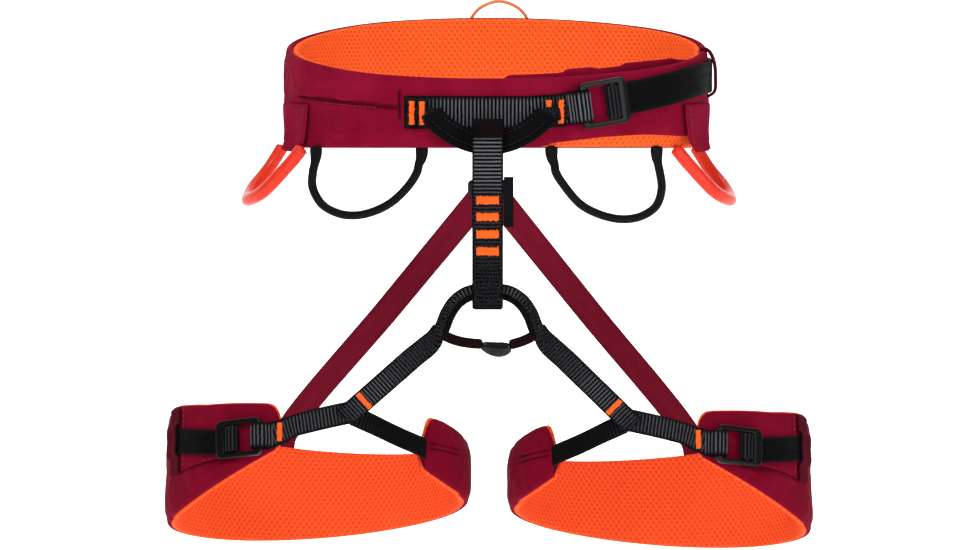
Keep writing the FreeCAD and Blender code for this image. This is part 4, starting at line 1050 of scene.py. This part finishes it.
def build_belay_loop():
    """The stitched loop, its tacks, the hood over its top and the blank tag."""
    radius = (BELAY_GAP + BELAY_THICK) / 2
    spots = []
    for y, z in belay_path(radius):
        # painted crest highlight: strong at the top of the front strand, fading towards its bottom, half on
        # the back strand
        tone = float(np.interp(z, (-100, -92, -52, -46), (0.06, 0.1, 0.3, 0.95))) if y < 0 else 0.5
        spots.append((Vector((BELAY_X, TIE_IN.y + y, z)), Vector((1, 0, 0)), tone, 1.0))
    finish_piece(strap("belay_loop_webbing", spots, BELAY_WIDTH, BELAY_THICK, 0.34, closed=True, notch=0.6),
                 "tie_in_link", webbing_ribbed, ("belay_loop",))
    face = TIE_IN.y - BELAY_GAP / 2 - BELAY_THICK - 0.1
    segments = []
    for seed, height in enumerate(BELAY_TACKS):
        base = frame_matrix(Vector((BELAY_X, face, height)), UP, Vector((-1, 0, 0)))
        segments += bar_tack(base, 4.9, 12.8, 0.66, 0.5, seed + 7)
    finish_piece(stitches("belay_tack_threads", segments, 0.42),
                 "tie_in_link", thread_orange, ("belay_bar_tacks",))
    row = [Vector((BELAY_X + x, face, -92.6)) for x in (-6, -2, 2, 6)]
    finish_piece(stitches("belay_end_stitching", stitch_line(row, [FRONT] * 4, 1.6, 0.5), 0.2),
                 "tie_in_link", thread_black)

    top = BELAY_TOP - BELAY_GAP / 2 - BELAY_THICK
    outer = BELAY_GAP / 2 + BELAY_THICK + 0.35
    cover = [(-outer, top + 0.6), (-outer, top + 1.6)]
    cover += [(-outer * math.cos(t), top + outer * math.sin(t)) for t in np.linspace(0.2, math.pi - 0.2, 8)]
    cover += [(outer, top + 1.6), (outer, top + 0.6)]
    spots = [(Vector((BELAY_X, TIE_IN.y + y, z)), Vector((1, 0, 0)), 0, 0) for y, z in cover]
    finish_piece(strap("belay_loop_hood", spots, BELAY_WIDTH - 0.4, 0.9, 0),
                 "tie_in_link", hood_cloth)

    low, high = box_mm("belay_tag")
    middle = (low + high) / 2
    spots = []
    for share in np.linspace(0, 1, 7):
        bow = 0.5 * math.sin(share * math.pi * 1.3)
        spots.append((Vector((middle.x, middle.y + bow * 0.3, high.z + (low.z - high.z) * share)),
                      Vector((1, 0.06 * math.sin(share * 4), 0)), 0, 0))
    finish_piece(strap("blank_tag", spots, high.x - low.x, high.y - low.y, 0, columns=7),
                 "belay_tag", label_cloth, ("belay_tag",))


# ---------------------------------------------------------------- lower tie-in ring
# Half of the ring's arch: x and z
ARCH = ((-29.6, -132.9), (-27.6, -128.0), (-24.6, -120.6), (-19.6, -113.4), (-12.4, -108.6), (-5, -107.2))
BEAD = 1.9  # radius of the inner bead


def arch_spots(shift):
    """Places along the ring's arch, moved away from the opening by shift, with that direction."""
    half = [Vector((x, TIE_IN.y, z)) for x, z in ARCH]
    line = half + [Vector((-p.x, p.y, p.z)) for p in half[::-1]]
    spots = []
    for i, place in enumerate(line):
        ahead = line[min(i + 1, len(line) - 1)] - line[max(i - 1, 0)]
        away = unit(FRONT.cross(ahead))
        spots.append((place + away * shift, away))
    return spots


def build_ring():
    """The arch's webbing and bead, and the elastic under it."""
    count = 2 * len(ARCH)
    spots = []
    for i, (place, away) in enumerate(arch_spots(0.6)):
        near_end = min(i, count - 1 - i)
        # painted crest highlight: faint near the arch's ends, strong near its top
        tone = (0.25, 0.12, 0.1, 0.3, 0.75, 0.6)[near_end]
        spots.append((place, away, tone, 0.8, 1.25 if near_end == 0 else 1.0))
    finish_piece(strap("ring_webbing", spots, 6.4, 3.8, 0.25, notch=0.4),
                 "tie_in_link", webbing_speckled, ("leg_tie_in_webbing",))
    spots = [(place, away, BEAD, BEAD) for place, away in arch_spots(-3.6)]
    finish_piece(rod("ring_bead", spots, 16, 1.2),
                 "tie_in_link", sleeve_cloth, ("leg_tie_in_sleeve",))
    stitched = [(p, FRONT) for p, _ in arch_spots(-1.5)]
    lifted = [p + Vector((0, -1.75, 0)) for p, _ in stitched]
    finish_piece(stitches("ring_stitching", stitch_line(lifted, [o for _, o in stitched], 1.8, 1.0), 0.2),
                 "tie_in_link", thread_black)

    lines = {-1: ((-27.4, -133.0), (-22.5, -135.4), (-17, -137.2), (-11, -138.2), (-3.5, -138.8)),
             1: ((27.4, -132.8), (23.5, -135.2), (19, -137.2), (11.6, -139.4))}
    for side, line in lines.items():
        spots = [(Vector((x, TIE_IN.y, z)), UP, 3.0, 1.6) for x, z in line]
        piece = rod("retainer_elastic_" + WORDS[side], spots, 16, 1.0, 3.0)
        finish_piece(piece, "tie_in_link", retainer_elastic,
                     (f"retainer_strap_{WORDS[side]}",))


def build_hook():
    """The retainer's moulded hook: a bent nose and a thumb grip."""
    low, high = box_mm("retainer_hook")
    middle = (low + high) / 2
    nose = [(-8.8, 3.0, 2.0, 1.7), (-6.4, 2.2, 3.0, 2.0), (-2.6, 1.0, 4.0, 2.1), (1.4, 0.4, 4.4, 2.1),
            (5.2, 1.0, 4.0, 2.0), (8.6, 2.6, 2.3, 1.6)]
    spots = [(Vector((middle.x + x, middle.y, middle.z + z)), UP, wide, deep) for x, z, wide, deep in nose]
    finish_piece(rod("retainer_hook_body", spots, 20, 0.8, 2.6),
                 "tie_in_link", plastic_black, ("retainer_hook",))
    ridges = []
    for x in (-3.2, -1.6, 0, 1.6, 3.2):
        ridges.append((Vector((middle.x + x, middle.y - 2.0, middle.z - 2.6)),
                       Vector((middle.x + x, middle.y - 2.0, middle.z + 0.4)), FRONT, 0.1))
    finish_piece(stitches("retainer_hook_grip", ridges, 0.4), "tie_in_link", plastic_black)


# ---------------------------------------------------------------- gear loops and haul loop
GEAR_LOOPS = {
    -1: ((-0.03, -13), (-0.035, -22), (0.05, -32), (0.19, -37.2), (0.33, -38.8), (0.5, -37.3), (0.7, -31.5),
         (0.87, -21.5), (0.955, -13)),
    1: ((-0.03, -13), (-0.05, -23), (0.0, -33), (0.13, -38.9), (0.3, -41), (0.5, -39), (0.72, -32.3),
        (0.88, -21), (0.96, -13))}  # share of the way to the inner end, and drop
FRONT_GEAR_X = {-1: (105, 40), 1: (101.6, 37.2)}
TAB_INSET, TAB_CLEARANCE = 3.5, 1.2


def front_gear(side):
    """A rod on two flat sewn tabs that narrow into it."""
    ring, word = GEAR_RINGS[side], WORDS[side]
    tops = []
    for x in FRONT_GEAR_X[side]:
        angle = ring.angle_at(x)
        bottom = WAIST_BOTTOM + WAIST_BOTTOM_SLOPE * ring.place(angle).y
        tops.append(ring.place(angle, -TAB_INSET, bottom - TAB_CLEARANCE))
    outer, inner = tops
    front = unit((inner - outer).cross(UP)) * side
    # share of the way to the other end, drop, half width and half depth
    tab = ((0, 2.4, 4.2, 0.9), (0, -1.6, 4.1, 1.0), (-0.004, -5.0, 3.5, 1.3), (-0.014, -8.6, 2.7, 2.0))
    route = list(tab)
    route += [(share, drop, 2.5, 2.5) for share, drop in GEAR_LOOPS[side]]
    route += [(1 + 2 * share, drop, wide, deep) for share, drop, wide, deep in tab[::-1]]
    spots = [(outer.lerp(inner, share) + UP * drop, front, deep, wide) for share, drop, wide, deep in route]
    piece = rod("gear_rod_" + word, spots, 18, 1.0, 2.3)
    finish_piece(piece, "front_gear_" + word, rod_black,
                 (f"front_gear_loop_{word}", f"front_gear_tabs_{word}"))


REAR_GEAR = ((110.8, -47, -27.5), (114.2, -45.8, -32.2), (121.5, -43.2, -40.6), (134.6, -36.5, -54.3),
             (144.4, -20, -60.4), (146.2, -4, -60.4), (143.4, 11, -54.4), (134.8, 19.5, -43.6),
             (126.2, 22, -30))
# Its two patches: angles, middle height and the width left at the foot
REAR_PATCHES = (((-31, -12), -14.5, 0.6), ((8, 18), -16, 0.8))


def rear_gear(side):
    """A moulded loop that comes out of two stitched patches."""
    ring, word = WAIST_SIDES[side], WORDS[side]
    spots = [(Vector((side * x, y, z)), Vector((0, 0.3, 1)), 3.9, 3.9) for x, y, z in REAR_GEAR]
    finish_piece(rod("rear_gear_moulding_" + word, spots, 24, 1.4, 2.1),
                 "rear_gear_" + word, plastic_orange, (f"rear_gear_loop_{word}",))
    for number, (angles, height, foot) in enumerate(REAR_PATCHES):
        middle = sum(angles) / 2
        wide = (angles[1] - angles[0]) / ring.degrees_per_mm(middle)
        tangent = ring.place(middle + 1) - ring.place(middle - 1)
        steps = ((12.3, 0.5, 1.0), (11, 0.9, 1.0), (4, 1.1, 0.96), (-4, 1.4, 0.86),
                 (-10, 2.2, 0.5 + foot / 2), (-13.5, 3.4, foot), (-16, 4.4, foot * 0.86))
        spots = [(ring.place(middle, out, height + rise), tangent, 0, 0, share) for rise, out, share in steps]
        piece = strap(f"gear_patch_{word}_{number + 1}", spots, wide, 1.2, 0, columns=15)
        replaces = (f"rear_gear_anchor_{word}",) if number == 0 else ()
        finish_piece(piece, "waist_belt", shell_cloth, replaces)
        segments = []
        for side_share in (-0.36, 0.36):
            beside = tangent.normalized() * (wide * side_share)
            line = [ring.place(middle, out + 0.75, height + rise) + beside * share
                    for rise, out, share in steps[1:-1]]
            segments += stitch_line(line, [ring.out(middle)] * len(line))
        sewn = stitches(f"gear_patch_stitching_{word}_{number + 1}", segments, 0.24)
        finish_piece(sewn, "waist_belt", thread_maroon)


HAUL_X, HAUL_HALF, HAUL_Y, HAUL_FOOT = 6.4, 18.5, 98.4, 37.3  # middle, half width, depth and foot height


def build_haul_loop():
    """A thin cord loop out of a patch at the belt's back."""
    line = ((-1, 0), (-1.0, 7), (-0.68, 15.4), (0, 20.0), (0.68, 15.4), (1.0, 7), (1, 0))
    spots = [(Vector((HAUL_X + share * HAUL_HALF, HAUL_Y, HAUL_FOOT + rise)), Vector((0, 1, 0)), 1.1, 1.1)
             for share, rise in line]
    finish_piece(rod("haul_cord", spots, 12, 0.8), "haul_loop", cord_orange, ("haul_loop",))
    angles = np.linspace(98, 76, 7)
    spots = [(WAIST.place(a, GAP + 0.5, 29), UP, 0, 0) for a in angles]
    finish_piece(strap("haul_patch", spots, 14, 1.0, 0),
                 "waist_belt", shell_cloth, ("haul_loop_anchor",))
    segments = []
    for height in (24, 34):
        line = [WAIST.place(a, 1.45, height) for a in angles[1:-1]]
        segments += stitch_line(line, [WAIST.out(a) for a in angles[1:-1]])
    finish_piece(stitches("haul_patch_stitching", segments, 0.24),
                 "waist_belt", thread_maroon)


# ---------------------------------------------------------------- leg loops
LEG_TOP, LEG_TOP_SLOPE = 24.5, 0.08  # height over the ring's middle, and slope towards the outside
LEG_BOTTOM, LEG_BOTTOM_SLOPES = -27.3, (-0.078, -0.03)
LEG_GAP = (-64.6, 19.0)  # the pad is open between these x
OUTER_CUT = (19.0, 0.5, 26)  # x and height where the cut starts, and its angle
INNER_CUT = (-66.5, -9.6, 22.5)
FRONT_Y = -20  # the cut corners are only this far forward
# How the front's top edge wanders, by x, and how the tip's edge falls back, by height
LEG_CREST = ((-101, 0), (-95, -0.6), (-90, 1.2), (-85, 2.8), (-75, 4.2), (-66, 3.6), (-60, 0), (68, 0),
             (81, 1.6), (88, 3.0), (95, 1.0), (101, 0))
TIP_SLANT = ((-10, 3.5), (-3, 0.0), (7, 2.4), (15, 5.6), (22, 8.0))


def leg_top(ring):
    def height(angle):
        place = ring.local(angle)
        crest = np.interp(place.x, *zip(*LEG_CREST)) if place.y < FRONT_Y else 0.0
        return LEG_TOP + LEG_TOP_SLOPE * place.x + float(crest)
    return height


def smooth_max(first, second):
    """The greater of two heights, with a rounded change from one to the other."""
    soft = 2.0
    return soft * math.log(math.exp(first / soft) + math.exp(second / soft))


def leg_bottom(ring):
    def height(angle):
        place = ring.local(angle)
        low = LEG_BOTTOM + LEG_BOTTOM_SLOPES[0] * place.x + LEG_BOTTOM_SLOPES[1] * place.y
        if place.y > FRONT_Y:
            return low
        x, z, turn = OUTER_CUT if place.x > 0 else INNER_CUT
        return smooth_max(low, z - math.tan(math.radians(turn)) * abs(place.x - x))
    return height


# Strap routes on the right leg, in its ring's own frame
JUNCTION = (-23, -98, 17.3)
FREE_FRONT = (JUNCTION, (-11.2, -94.6, 15.4), (0.7, -90.6, 13.3), (11, -86.2, 11.2))
FREE_INNER = ((-26, -94.9, 15.4), (-36, -90.0, 11.6), (-50, -77.5, 6.9), (-62, -64.5, 3.9),
              (-66.8, -57.6, 3.0))
STACK = 2.1  # the straps meet on top of each other this far apart
ARCH_STRAP = (32.6, -136.4)  # x and z where the upper strap starts
ON_PAD = ((-79, 1.75, 8.7), (-76.8, 1.4, 7.8))  # angle, distance out and height
TIP_SEAMS = (6.8, 3.6)  # heights of the seams across the inner tip
TIP_SEAM_ANGLES = (204, 209, 214, 219)
KEEPER_ANGLE = -25.0
FOLD_SEAM = ((-62, -4.5), (-45, -5.8), (-28, -9.0))  # angle and height of the fold under the buckle


def leg_pad(side):
    """One leg loop's stuffed pad and its mesh liner."""
    ring, word = LEGS[side], WORDS[side]
    start = ring.angle_at(LEG_GAP[1]) + 0.3
    end = 360 + ring.angle_at(LEG_GAP[0]) - 0.3
    corners = (9.0, 3.0, 4.0, 3.0)
    top, bottom = leg_top(ring), leg_bottom(ring)

    def slant(height):
        return float(np.interp(height, *zip(*TIP_SLANT)))

    pad = Pad(ring, (start + 0.4, end - 0.4), top, bottom, (0.0, 7.2), (1.1, 4.6), corners, 2.4, slant)
    piece, data = pad.build(f"{word}_leg_pad", 34)
    angle, height, share, face = data.T
    around = (angle + 180) % 360 - 180
    line = np.interp(around, (-80, -64, -49, -25, -20), (8.5, 5.6, 5.8, 12, 12))
    strap_zone = (np.abs(height - line) < 9.5) & (around < -20) & (around > -84)
    keeper_zone = np.abs(around + 27.5) < 5
    riser_zone = (np.abs(around - 70) < 10) & (height > 0)
    seam = (share < 0.08) | (share > 0.92) | (face <= 0)
    simulate(piece, strap_zone | keeper_zone | riser_zone | seam, 0.9, 0.014, 0.7)

    def seams(angle, height, face):
        around = (angle + 180) % 360 - 180
        if face > 0 and FOLD_SEAM[0][0] < around < FOLD_SEAM[-1][0]:
            fold = float(np.interp(around, *zip(*FOLD_SEAM)))
            return -1.0 * gaussian(height - fold, 1.0) + 0.5 * gaussian(height - fold + 2.4, 1.6)
        if face < 0 or angle < 180:
            return 0.0
        return -0.7 * gaussian(height - TIP_SEAMS[0], 0.8) - 0.7 * gaussian(height - TIP_SEAMS[1], 0.8)

    push(piece, ring, data, seams)
    body = f"{word}_leg"
    finish_pad(piece, body, leg_shaded_cloth, (f"{word}_leg_shell", f"{word}_leg_foam"))

    liner = Pad(ring, (start, end), lambda a: top(a) + 1.2, lambda a: bottom(a) - 0.7,
                (4.4, 7.75), (3.4, 7.4), corners, 2.6, slant)
    piece, _ = liner.build(f"{word}_leg_mesh_liner", 14, 3)
    finish_pad(piece, body, leg_shaded_mesh_cloth, (f"{word}_leg_liner",))


def leg_points(side, points):
    """Places in a leg ring's own frame, X away from the other leg."""
    return [LEGS[side].placement @ Vector((side * x, y, z)) for x, y, z in points]


def upper_strap_ends(side):
    """Where the upper strap leaves the ring and where it meets the other leg straps."""
    junction = leg_points(side, [JUNCTION])[0]
    return Vector((side * ARCH_STRAP[0], TIE_IN.y, ARCH_STRAP[1])), junction + FRONT * STACK


def leg_upper_strap(side):
    """Two pieces: the upper one from the ring to the strap's middle, the lower one from the middle to where
    it meets the other leg straps.
    """
    word = WORDS[side]
    arch_end, lower_end = upper_strap_ends(side)
    across = unit(FRONT.cross(lower_end - arch_end))
    middle = arch_end.lerp(lower_end, 0.5)
    above = arch_end + Vector((-side * 3.2, 0, 8.0))
    beyond = lower_end + (lower_end - arch_end).normalized() * 5
    # the third entry of each part: how strong the painted crest highlight is along it, strongest near the
    # middle
    parts = (
        ("top", (above, arch_end, arch_end.lerp(middle, 0.5), middle), (0.08, 0.1, 0.3, 0.55),
         ("tie_in_link", "waist_belt")),
        ("bottom", (middle, middle.lerp(lower_end, 0.5), lower_end, beyond), (0.55, 0.6, 0.3, 0.12),
         ("waist_belt", f"{word}_leg")),
    )
    for place, line, tones, bodies in parts:
        spots = [(p, across, tone, 1.0, 0.86) for p, tone in zip(line, tones)]
        if place == "top":
            spots[0] = (above, unit(FRONT.cross(arch_end - above)), 0.08, 0.8, 0.42)
            spots[1] = spots[1][:4] + (0.78,)
        piece = strap(f"{word}_upper_strap_{place}", spots, LEG_WIDTH, WEBBING)
        piece.data.materials.append(webbing_ribbed if place == "bottom" else webbing_speckled)
        start, end = (arch_end, middle) if place == "top" else (middle, lower_end)
        start * MM
        end * MM
        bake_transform(piece)
        if place == "top":
            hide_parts(f"{word}_leg_upper_strap")


def leg_straps(side):
    """The straps to the buckle and to the inner tip, the adjusting strap and the sleeve for its tail."""
    word, ring, buckle = WORDS[side], LEGS[side], LEG_BUCKLES[side]
    body = f"{word}_leg"
    up = ring.placement.to_3x3() @ UP
    # how strong the painted crest highlight is along the strap to the buckle
    tones = (0.2, 0.45, 0.5, 0.5)
    spots = [(p, up, t, 1.0, 0.9) for p, t in zip(leg_points(side, FREE_FRONT), tones)]
    spots += [(ring.place(*spot), ring.up(), 0.5) for spot in ON_PAD]
    spots += buckle.near(fold_steps(buckle.bar), 0.6, 1)
    piece = strap(f"{word}_front_webbing", spots, LEG_WIDTH, WEBBING)
    finish_piece(piece, body, webbing_ribbed, (f"{word}_leg_front_strap",))

    # how strong the painted crest highlight is along the strap to the inner tip, fading towards it
    tones = (0.3, 0.12, 0, 0, 0)
    spots = [(p, up, t, t * 2, 0.88) for p, t in zip(leg_points(side, FREE_INNER), tones)]
    piece = strap(f"{word}_inner_webbing", spots, LEG_WIDTH - 1, STRAP, 0.12, samples=3)
    finish_piece(piece, body, webbing_flat, (f"{word}_leg_inner_strap",))

    tail = ((-47, 6.2), (-43, 7.0), (-39, 7.9), (-34, 9.2), (-29, 10.7), (-25, 12.0))  # angle and height
    under = [(ring.place(a, STRAP_LOW, h), ring.up(), 0, 0) for a, h in tail[::-1]]
    over = [(ring.place(a, STRAP_HIGH, h), ring.up(), 0, 0) for a, h in tail[:-1]]
    spots = under + buckle.wrapped(0.5) + over
    piece = strap(f"{word}_adjust_webbing", spots, LEG_WIDTH, STRAP, 0.12, samples=3)
    finish_piece(piece, body, webbing_flat, (f"{word}_leg_adjust_strap",))

    out = STRAP_HIGH + STRAP / 2 + GAP + 0.5
    tangent = ring.place(KEEPER_ANGLE + 1) - ring.place(KEEPER_ANGLE - 1)
    steps = ((-8.6, 0.5), (-7.6, 1.0), (0.6, 1.2), (3.0, out), (11, out), (19.6, out), (22, 1.2), (30.4, 1.0),
             (31.4, 0.5))
    spots = [(ring.place(KEEPER_ANGLE, o, h), tangent, 0, 0) for h, o in steps]
    finish_piece(strap(f"{word}_keeper_band", spots, 12.5, 1.0, 0),
                 body, keeper_and_seam_shade_cloth, (f"{word}_leg_keeper",))


def leg_stitching(side):
    """One leg loop's bar tacks, seams and running stitches."""
    word, ring = WORDS[side], LEGS[side]
    body = f"{word}_leg"
    arch_end, lower_end = upper_strap_ends(side)
    climb = arch_end - lower_end
    near_junction = frame_matrix(lower_end + climb * 0.17, climb, FRONT.cross(climb))
    near_junction.translation += FRONT * (WEBBING / 2 + 0.15)
    on_pad = ring.frame(-78.4, 3.1, 8.4)
    segments = bar_tack(near_junction, 3.4, 11, seed=side + 20) + bar_tack(on_pad, 3.4, 11, seed=side + 30)
    finish_piece(stitches(f"{word}_tack_threads", segments, 0.4),
                 body, thread_orange, (f"{word}_leg_bar_tacks",))

    segments = []
    for number, height in enumerate(TIP_SEAMS):
        line = [ring.place(a, 0.15, height + 1.2) for a in TIP_SEAM_ANGLES]
        segments += stitch_line(line, [ring.out(a) for a in TIP_SEAM_ANGLES])
        # dark rods along the tip seams and the fold seam: painted shade of the seam folds
        seam_shade_rod(f"{word}_tip_seam_{number + 1}", ring, [(a, height) for a in (201, 208, 215, 222)], body, 0.45)
    seam_shade_rod(f"{word}_fold_seam", ring, FOLD_SEAM, body, 0.45)
    line = [ring.place(a, -0.1, h + 1.4) for a, h in FOLD_SEAM]
    segments += stitch_line(line, [ring.out(a) for a, _ in FOLD_SEAM])
    for offset in (-32.6, -20.6):
        line = [ring.place(offset, 1.2, h) for h in (-6, 0, 26, 31)]
        segments += stitch_line(line, [ring.out(offset)] * 4)
    finish_piece(stitches(f"{word}_pad_stitching", segments, 0.22), body, thread_maroon)


# ---------------------------------------------------------------- risers
APEX = (4.0, -55.5)  # x and z of a riser's upper end, past the middle
RISER_Y = {-1: 98.6, 1: 100.8}  # one riser passes behind the other
RISER_AT_LEG = ((73.2, 27), (70.2, 17), (67.4, 8))  # leg ring angle and height
RISER_WIDTH, RISER_THICK = 19.0, 1.3
RISER_TAPER = (0.9, 0.84, 0.8, 0.8, 0.8, 0.8)  # width shares from the yoke down


def build_risers():
    """The strap down from the belt's back, the two elastics and their patches on the leg pads."""
    low, high = box_mm("riser_anchor_strap")
    middle = (low + high) / 2
    # a medium painted crest highlight all along the anchor strap
    spots = [(Vector((0, middle.y, z)), Vector((1, 0, 0)), 0.4, 1) for z in np.linspace(high.z, low.z, 5)]
    finish_piece(strap("riser_anchor_webbing", spots, high.x - low.x, high.y - low.y, 0.2),
                 "waist_belt", webbing_ribbed, ("riser_anchor_strap",))
    for side in (-1, 1):
        ring, word = LEGS[side], WORDS[side]
        out = GAP + RISER_THICK / 2
        start = Vector((-side * APEX[0], RISER_Y[side], APEX[1]))
        on_leg = [ring.place(a, out, h) for a, h in RISER_AT_LEG]
        before = ring.place(RISER_AT_LEG[0][0] + 2, out + 2.2, RISER_AT_LEG[0][1] + 12)
        line = [start, start.lerp(before, 0.5), before] + on_leg
        normals = [Vector((0, 1, 0))] * 3 + [ring.out(a) for a, _ in RISER_AT_LEG]
        spots = []
        for i, (place, normal) in enumerate(zip(line, normals)):
            ahead = line[min(i + 1, len(line) - 1)] - line[max(i - 1, 0)]
            spots.append((place, unit(normal.cross(ahead)), 0, 0, RISER_TAPER[i]))
        piece = strap(f"riser_elastic_{word}", spots, RISER_WIDTH, RISER_THICK, 0, columns=11)
        piece.data.materials.append(riser_elastic)
        on_leg[0] * MM
        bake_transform(piece)
        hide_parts(f"riser_{word}")
        base = ring.frame(69, out + RISER_THICK / 2 + GAP + 0.4, 12)
        across = base.to_3x3() @ Vector((1, 0, 0))
        spots = [(base @ Vector((0, y, 0)), across, 0, 0) for y in (7.5, 4, 0, -4, -7.5)]
        finish_piece(strap(f"riser_patch_{word}", spots, 21, 0.8, 0),
                     f"{word}_leg", leg_shaded_cloth, (f"{word}_riser_patch",))


# ---------------------------------------------------------------- CAD parts that stay
def keep_cad(node, material, bevel):
    """A CAD part keeps its shape and gets rounded edges and a finish."""
    piece = frame["nodes"][node]
    piece.data.materials.clear()
    piece.data.materials.append(material)
    weld = piece.modifiers.new("weld", "WELD")
    weld.merge_threshold = 0.00001
    edges = piece.modifiers.new("edges", "BEVEL")
    edges.width = bevel * MM
    edges.segments = 3
    edges.angle_limit = math.radians(50)
    edges.harden_normals = False
    piece.data.polygons.foreach_set("use_smooth", [True] * len(piece.data.polygons))


def keep_cad_parts():
    for prefix in ("waist", "left_leg", "right_leg"):
        keep_cad(f"{prefix}_buckle_frame", buckle_metal, 0.9)
        keep_cad(f"{prefix}_buckle_slider", buckle_metal, 0.6)
    keep_cad("riser_yoke", plastic_black, 0.6)


# ---------------------------------------------------------------- stitched details of the belt
def build_waist_stitching():
    ring = WAIST_SIDES[-1]
    segments = []
    seam = [(-60, -1.2), (-54.8, -0.6), (-44, 0.3), (-34, 1.2)]
    line = [ring.place(a, 0.25, h - 1.4) for a, h in seam]
    segments += stitch_line(line, [ring.out(a) for a, _ in seam])
    line = [ring.place(LEFT_CREASE, -0.5, h) for h in (8, 3, -3, -9)]
    segments += stitch_line(line, [ring.out(LEFT_CREASE)] * 4)
    finish_piece(stitches("belt_stitching", segments, 0.24), "waist_belt", thread_maroon)
    segments = []
    angles = (-111.6, -109, -106, -104)
    for inset in (-7.4, 7.4):
        places = [WAIST.place(a, WEBBING_LOW + WEBBING / 2, line_height(a) + inset) for a in angles]
        segments += stitch_line(places, [WAIST.out(a) for a in angles], 1.6, 0.8)
    finish_piece(stitches("webbing_end_stitching", segments, 0.2),
                 "waist_belt", thread_black)


# ---------------------------------------------------------------- camera, floor and light
def area_light(name, place, aim, size, power):
    data = bpy.data.lights.new(name, "AREA")
    data.shape = "RECTANGLE"
    data.size, data.size_y = size
    data.energy = power
    lamp = bpy.data.objects.new(name, data)
    lamp.location = place
    lamp.rotation_euler = (Vector(aim) - Vector(place)).to_track_quat("-Z", "Y").to_euler()
    bpy.context.scene.collection.objects.link(lamp)


LIGHTS = (  # name, place, aim, size and power
    ("key", (-0.7, -1.9, 1.5), (0, 0, -0.1), (1.1, 0.8), 31),
    ("fill", (1.4, -1.6, 0.3), (0, 0, -0.12), (0.9, 1.1), 12),
    ("top", (0, 0.1, 1.6), (0, 0, 0), (1.2, 0.9), 13),
    ("wall", (0, 1.2, 2.2), (0, 4.2, 0.2), (3.0, 1.0), 60))
CAMERA_AIM = Vector((0, 0, -0.108))
CAMERA_DISTANCE, CAMERA_ELEVATION, CAMERA_LENS = 2.2, 5, 132.8
WORLD_LIGHT = 0.22
FLOOR_Z = -0.42
# The paper sweep, in metres
SWEEP_FRONT, SWEEP_BACK, SWEEP_RADIUS, SWEEP_TOP, SWEEP_HALF = 9.0, 2.2, 1.8, 6.0, 9.0


def build_stage():
    scene = bpy.context.scene
    scene.view_settings.view_transform = "Standard"
    elevation = math.radians(CAMERA_ELEVATION)
    data = bpy.data.cameras.new("camera")
    data.lens = CAMERA_LENS
    camera = bpy.data.objects.new("camera", data)
    camera.location = CAMERA_AIM + Vector((0, -math.cos(elevation), math.sin(elevation))) * CAMERA_DISTANCE
    camera.rotation_euler = (CAMERA_AIM - camera.location).to_track_quat("-Z", "Y").to_euler()
    scene.collection.objects.link(camera)
    scene.camera = camera

    world = bpy.data.worlds.new("studio")
    scene.world = world
    world.use_nodes = True
    world.node_tree.nodes["Background"].inputs[0].default_value = (1, 1, 1, 1)
    world.node_tree.nodes["Background"].inputs[1].default_value = WORLD_LIGHT
    for light in LIGHTS:
        area_light(*light)

    profile = [(-SWEEP_FRONT, 0.0), (SWEEP_BACK, 0.0)]
    for step in range(1, 13):
        turn = math.pi / 2 * step / 12
        profile.append((SWEEP_BACK + SWEEP_RADIUS * math.sin(turn), SWEEP_RADIUS * (1 - math.cos(turn))))
    profile.append((SWEEP_BACK + SWEEP_RADIUS, SWEEP_TOP))
    points, faces = [], []
    for y, z in profile:
        points += [(-SWEEP_HALF, y, z + FLOOR_Z), (SWEEP_HALF, y, z + FLOOR_Z)]
    for k in range(len(profile) - 1):
        faces.append((2 * k, 2 * k + 1, 2 * k + 3, 2 * k + 2))
    floor = mesh_object("floor", np.array(points) / MM, faces)
    g = Graph("floor_paint", Roughness=0.95, Specular_IOR_Level=0.05,
              Emission_Color=(1, 1, 1, 1), Emission_Strength=0.7)
    grain = g.noise(g.object_point(), 0.002, 3)
    floor.data.materials.append(g.finish(g.mix(grain, (0.9, 0.9, 0.9, 1), (0.93, 0.93, 0.93, 1))))


build_stage()
build_waist_pad()
build_waist_liner()
build_tongue()
build_waist_straps()
build_tie_in()
build_belay_loop()
build_ring()
build_hook()
build_haul_loop()
build_risers()
keep_cad_parts()
build_waist_stitching()
for leg_side in (-1, 1):
    front_gear(leg_side)
    rear_gear(leg_side)
    leg_pad(leg_side)
    leg_upper_strap(leg_side)
    leg_straps(leg_side)
    leg_stitching(leg_side)
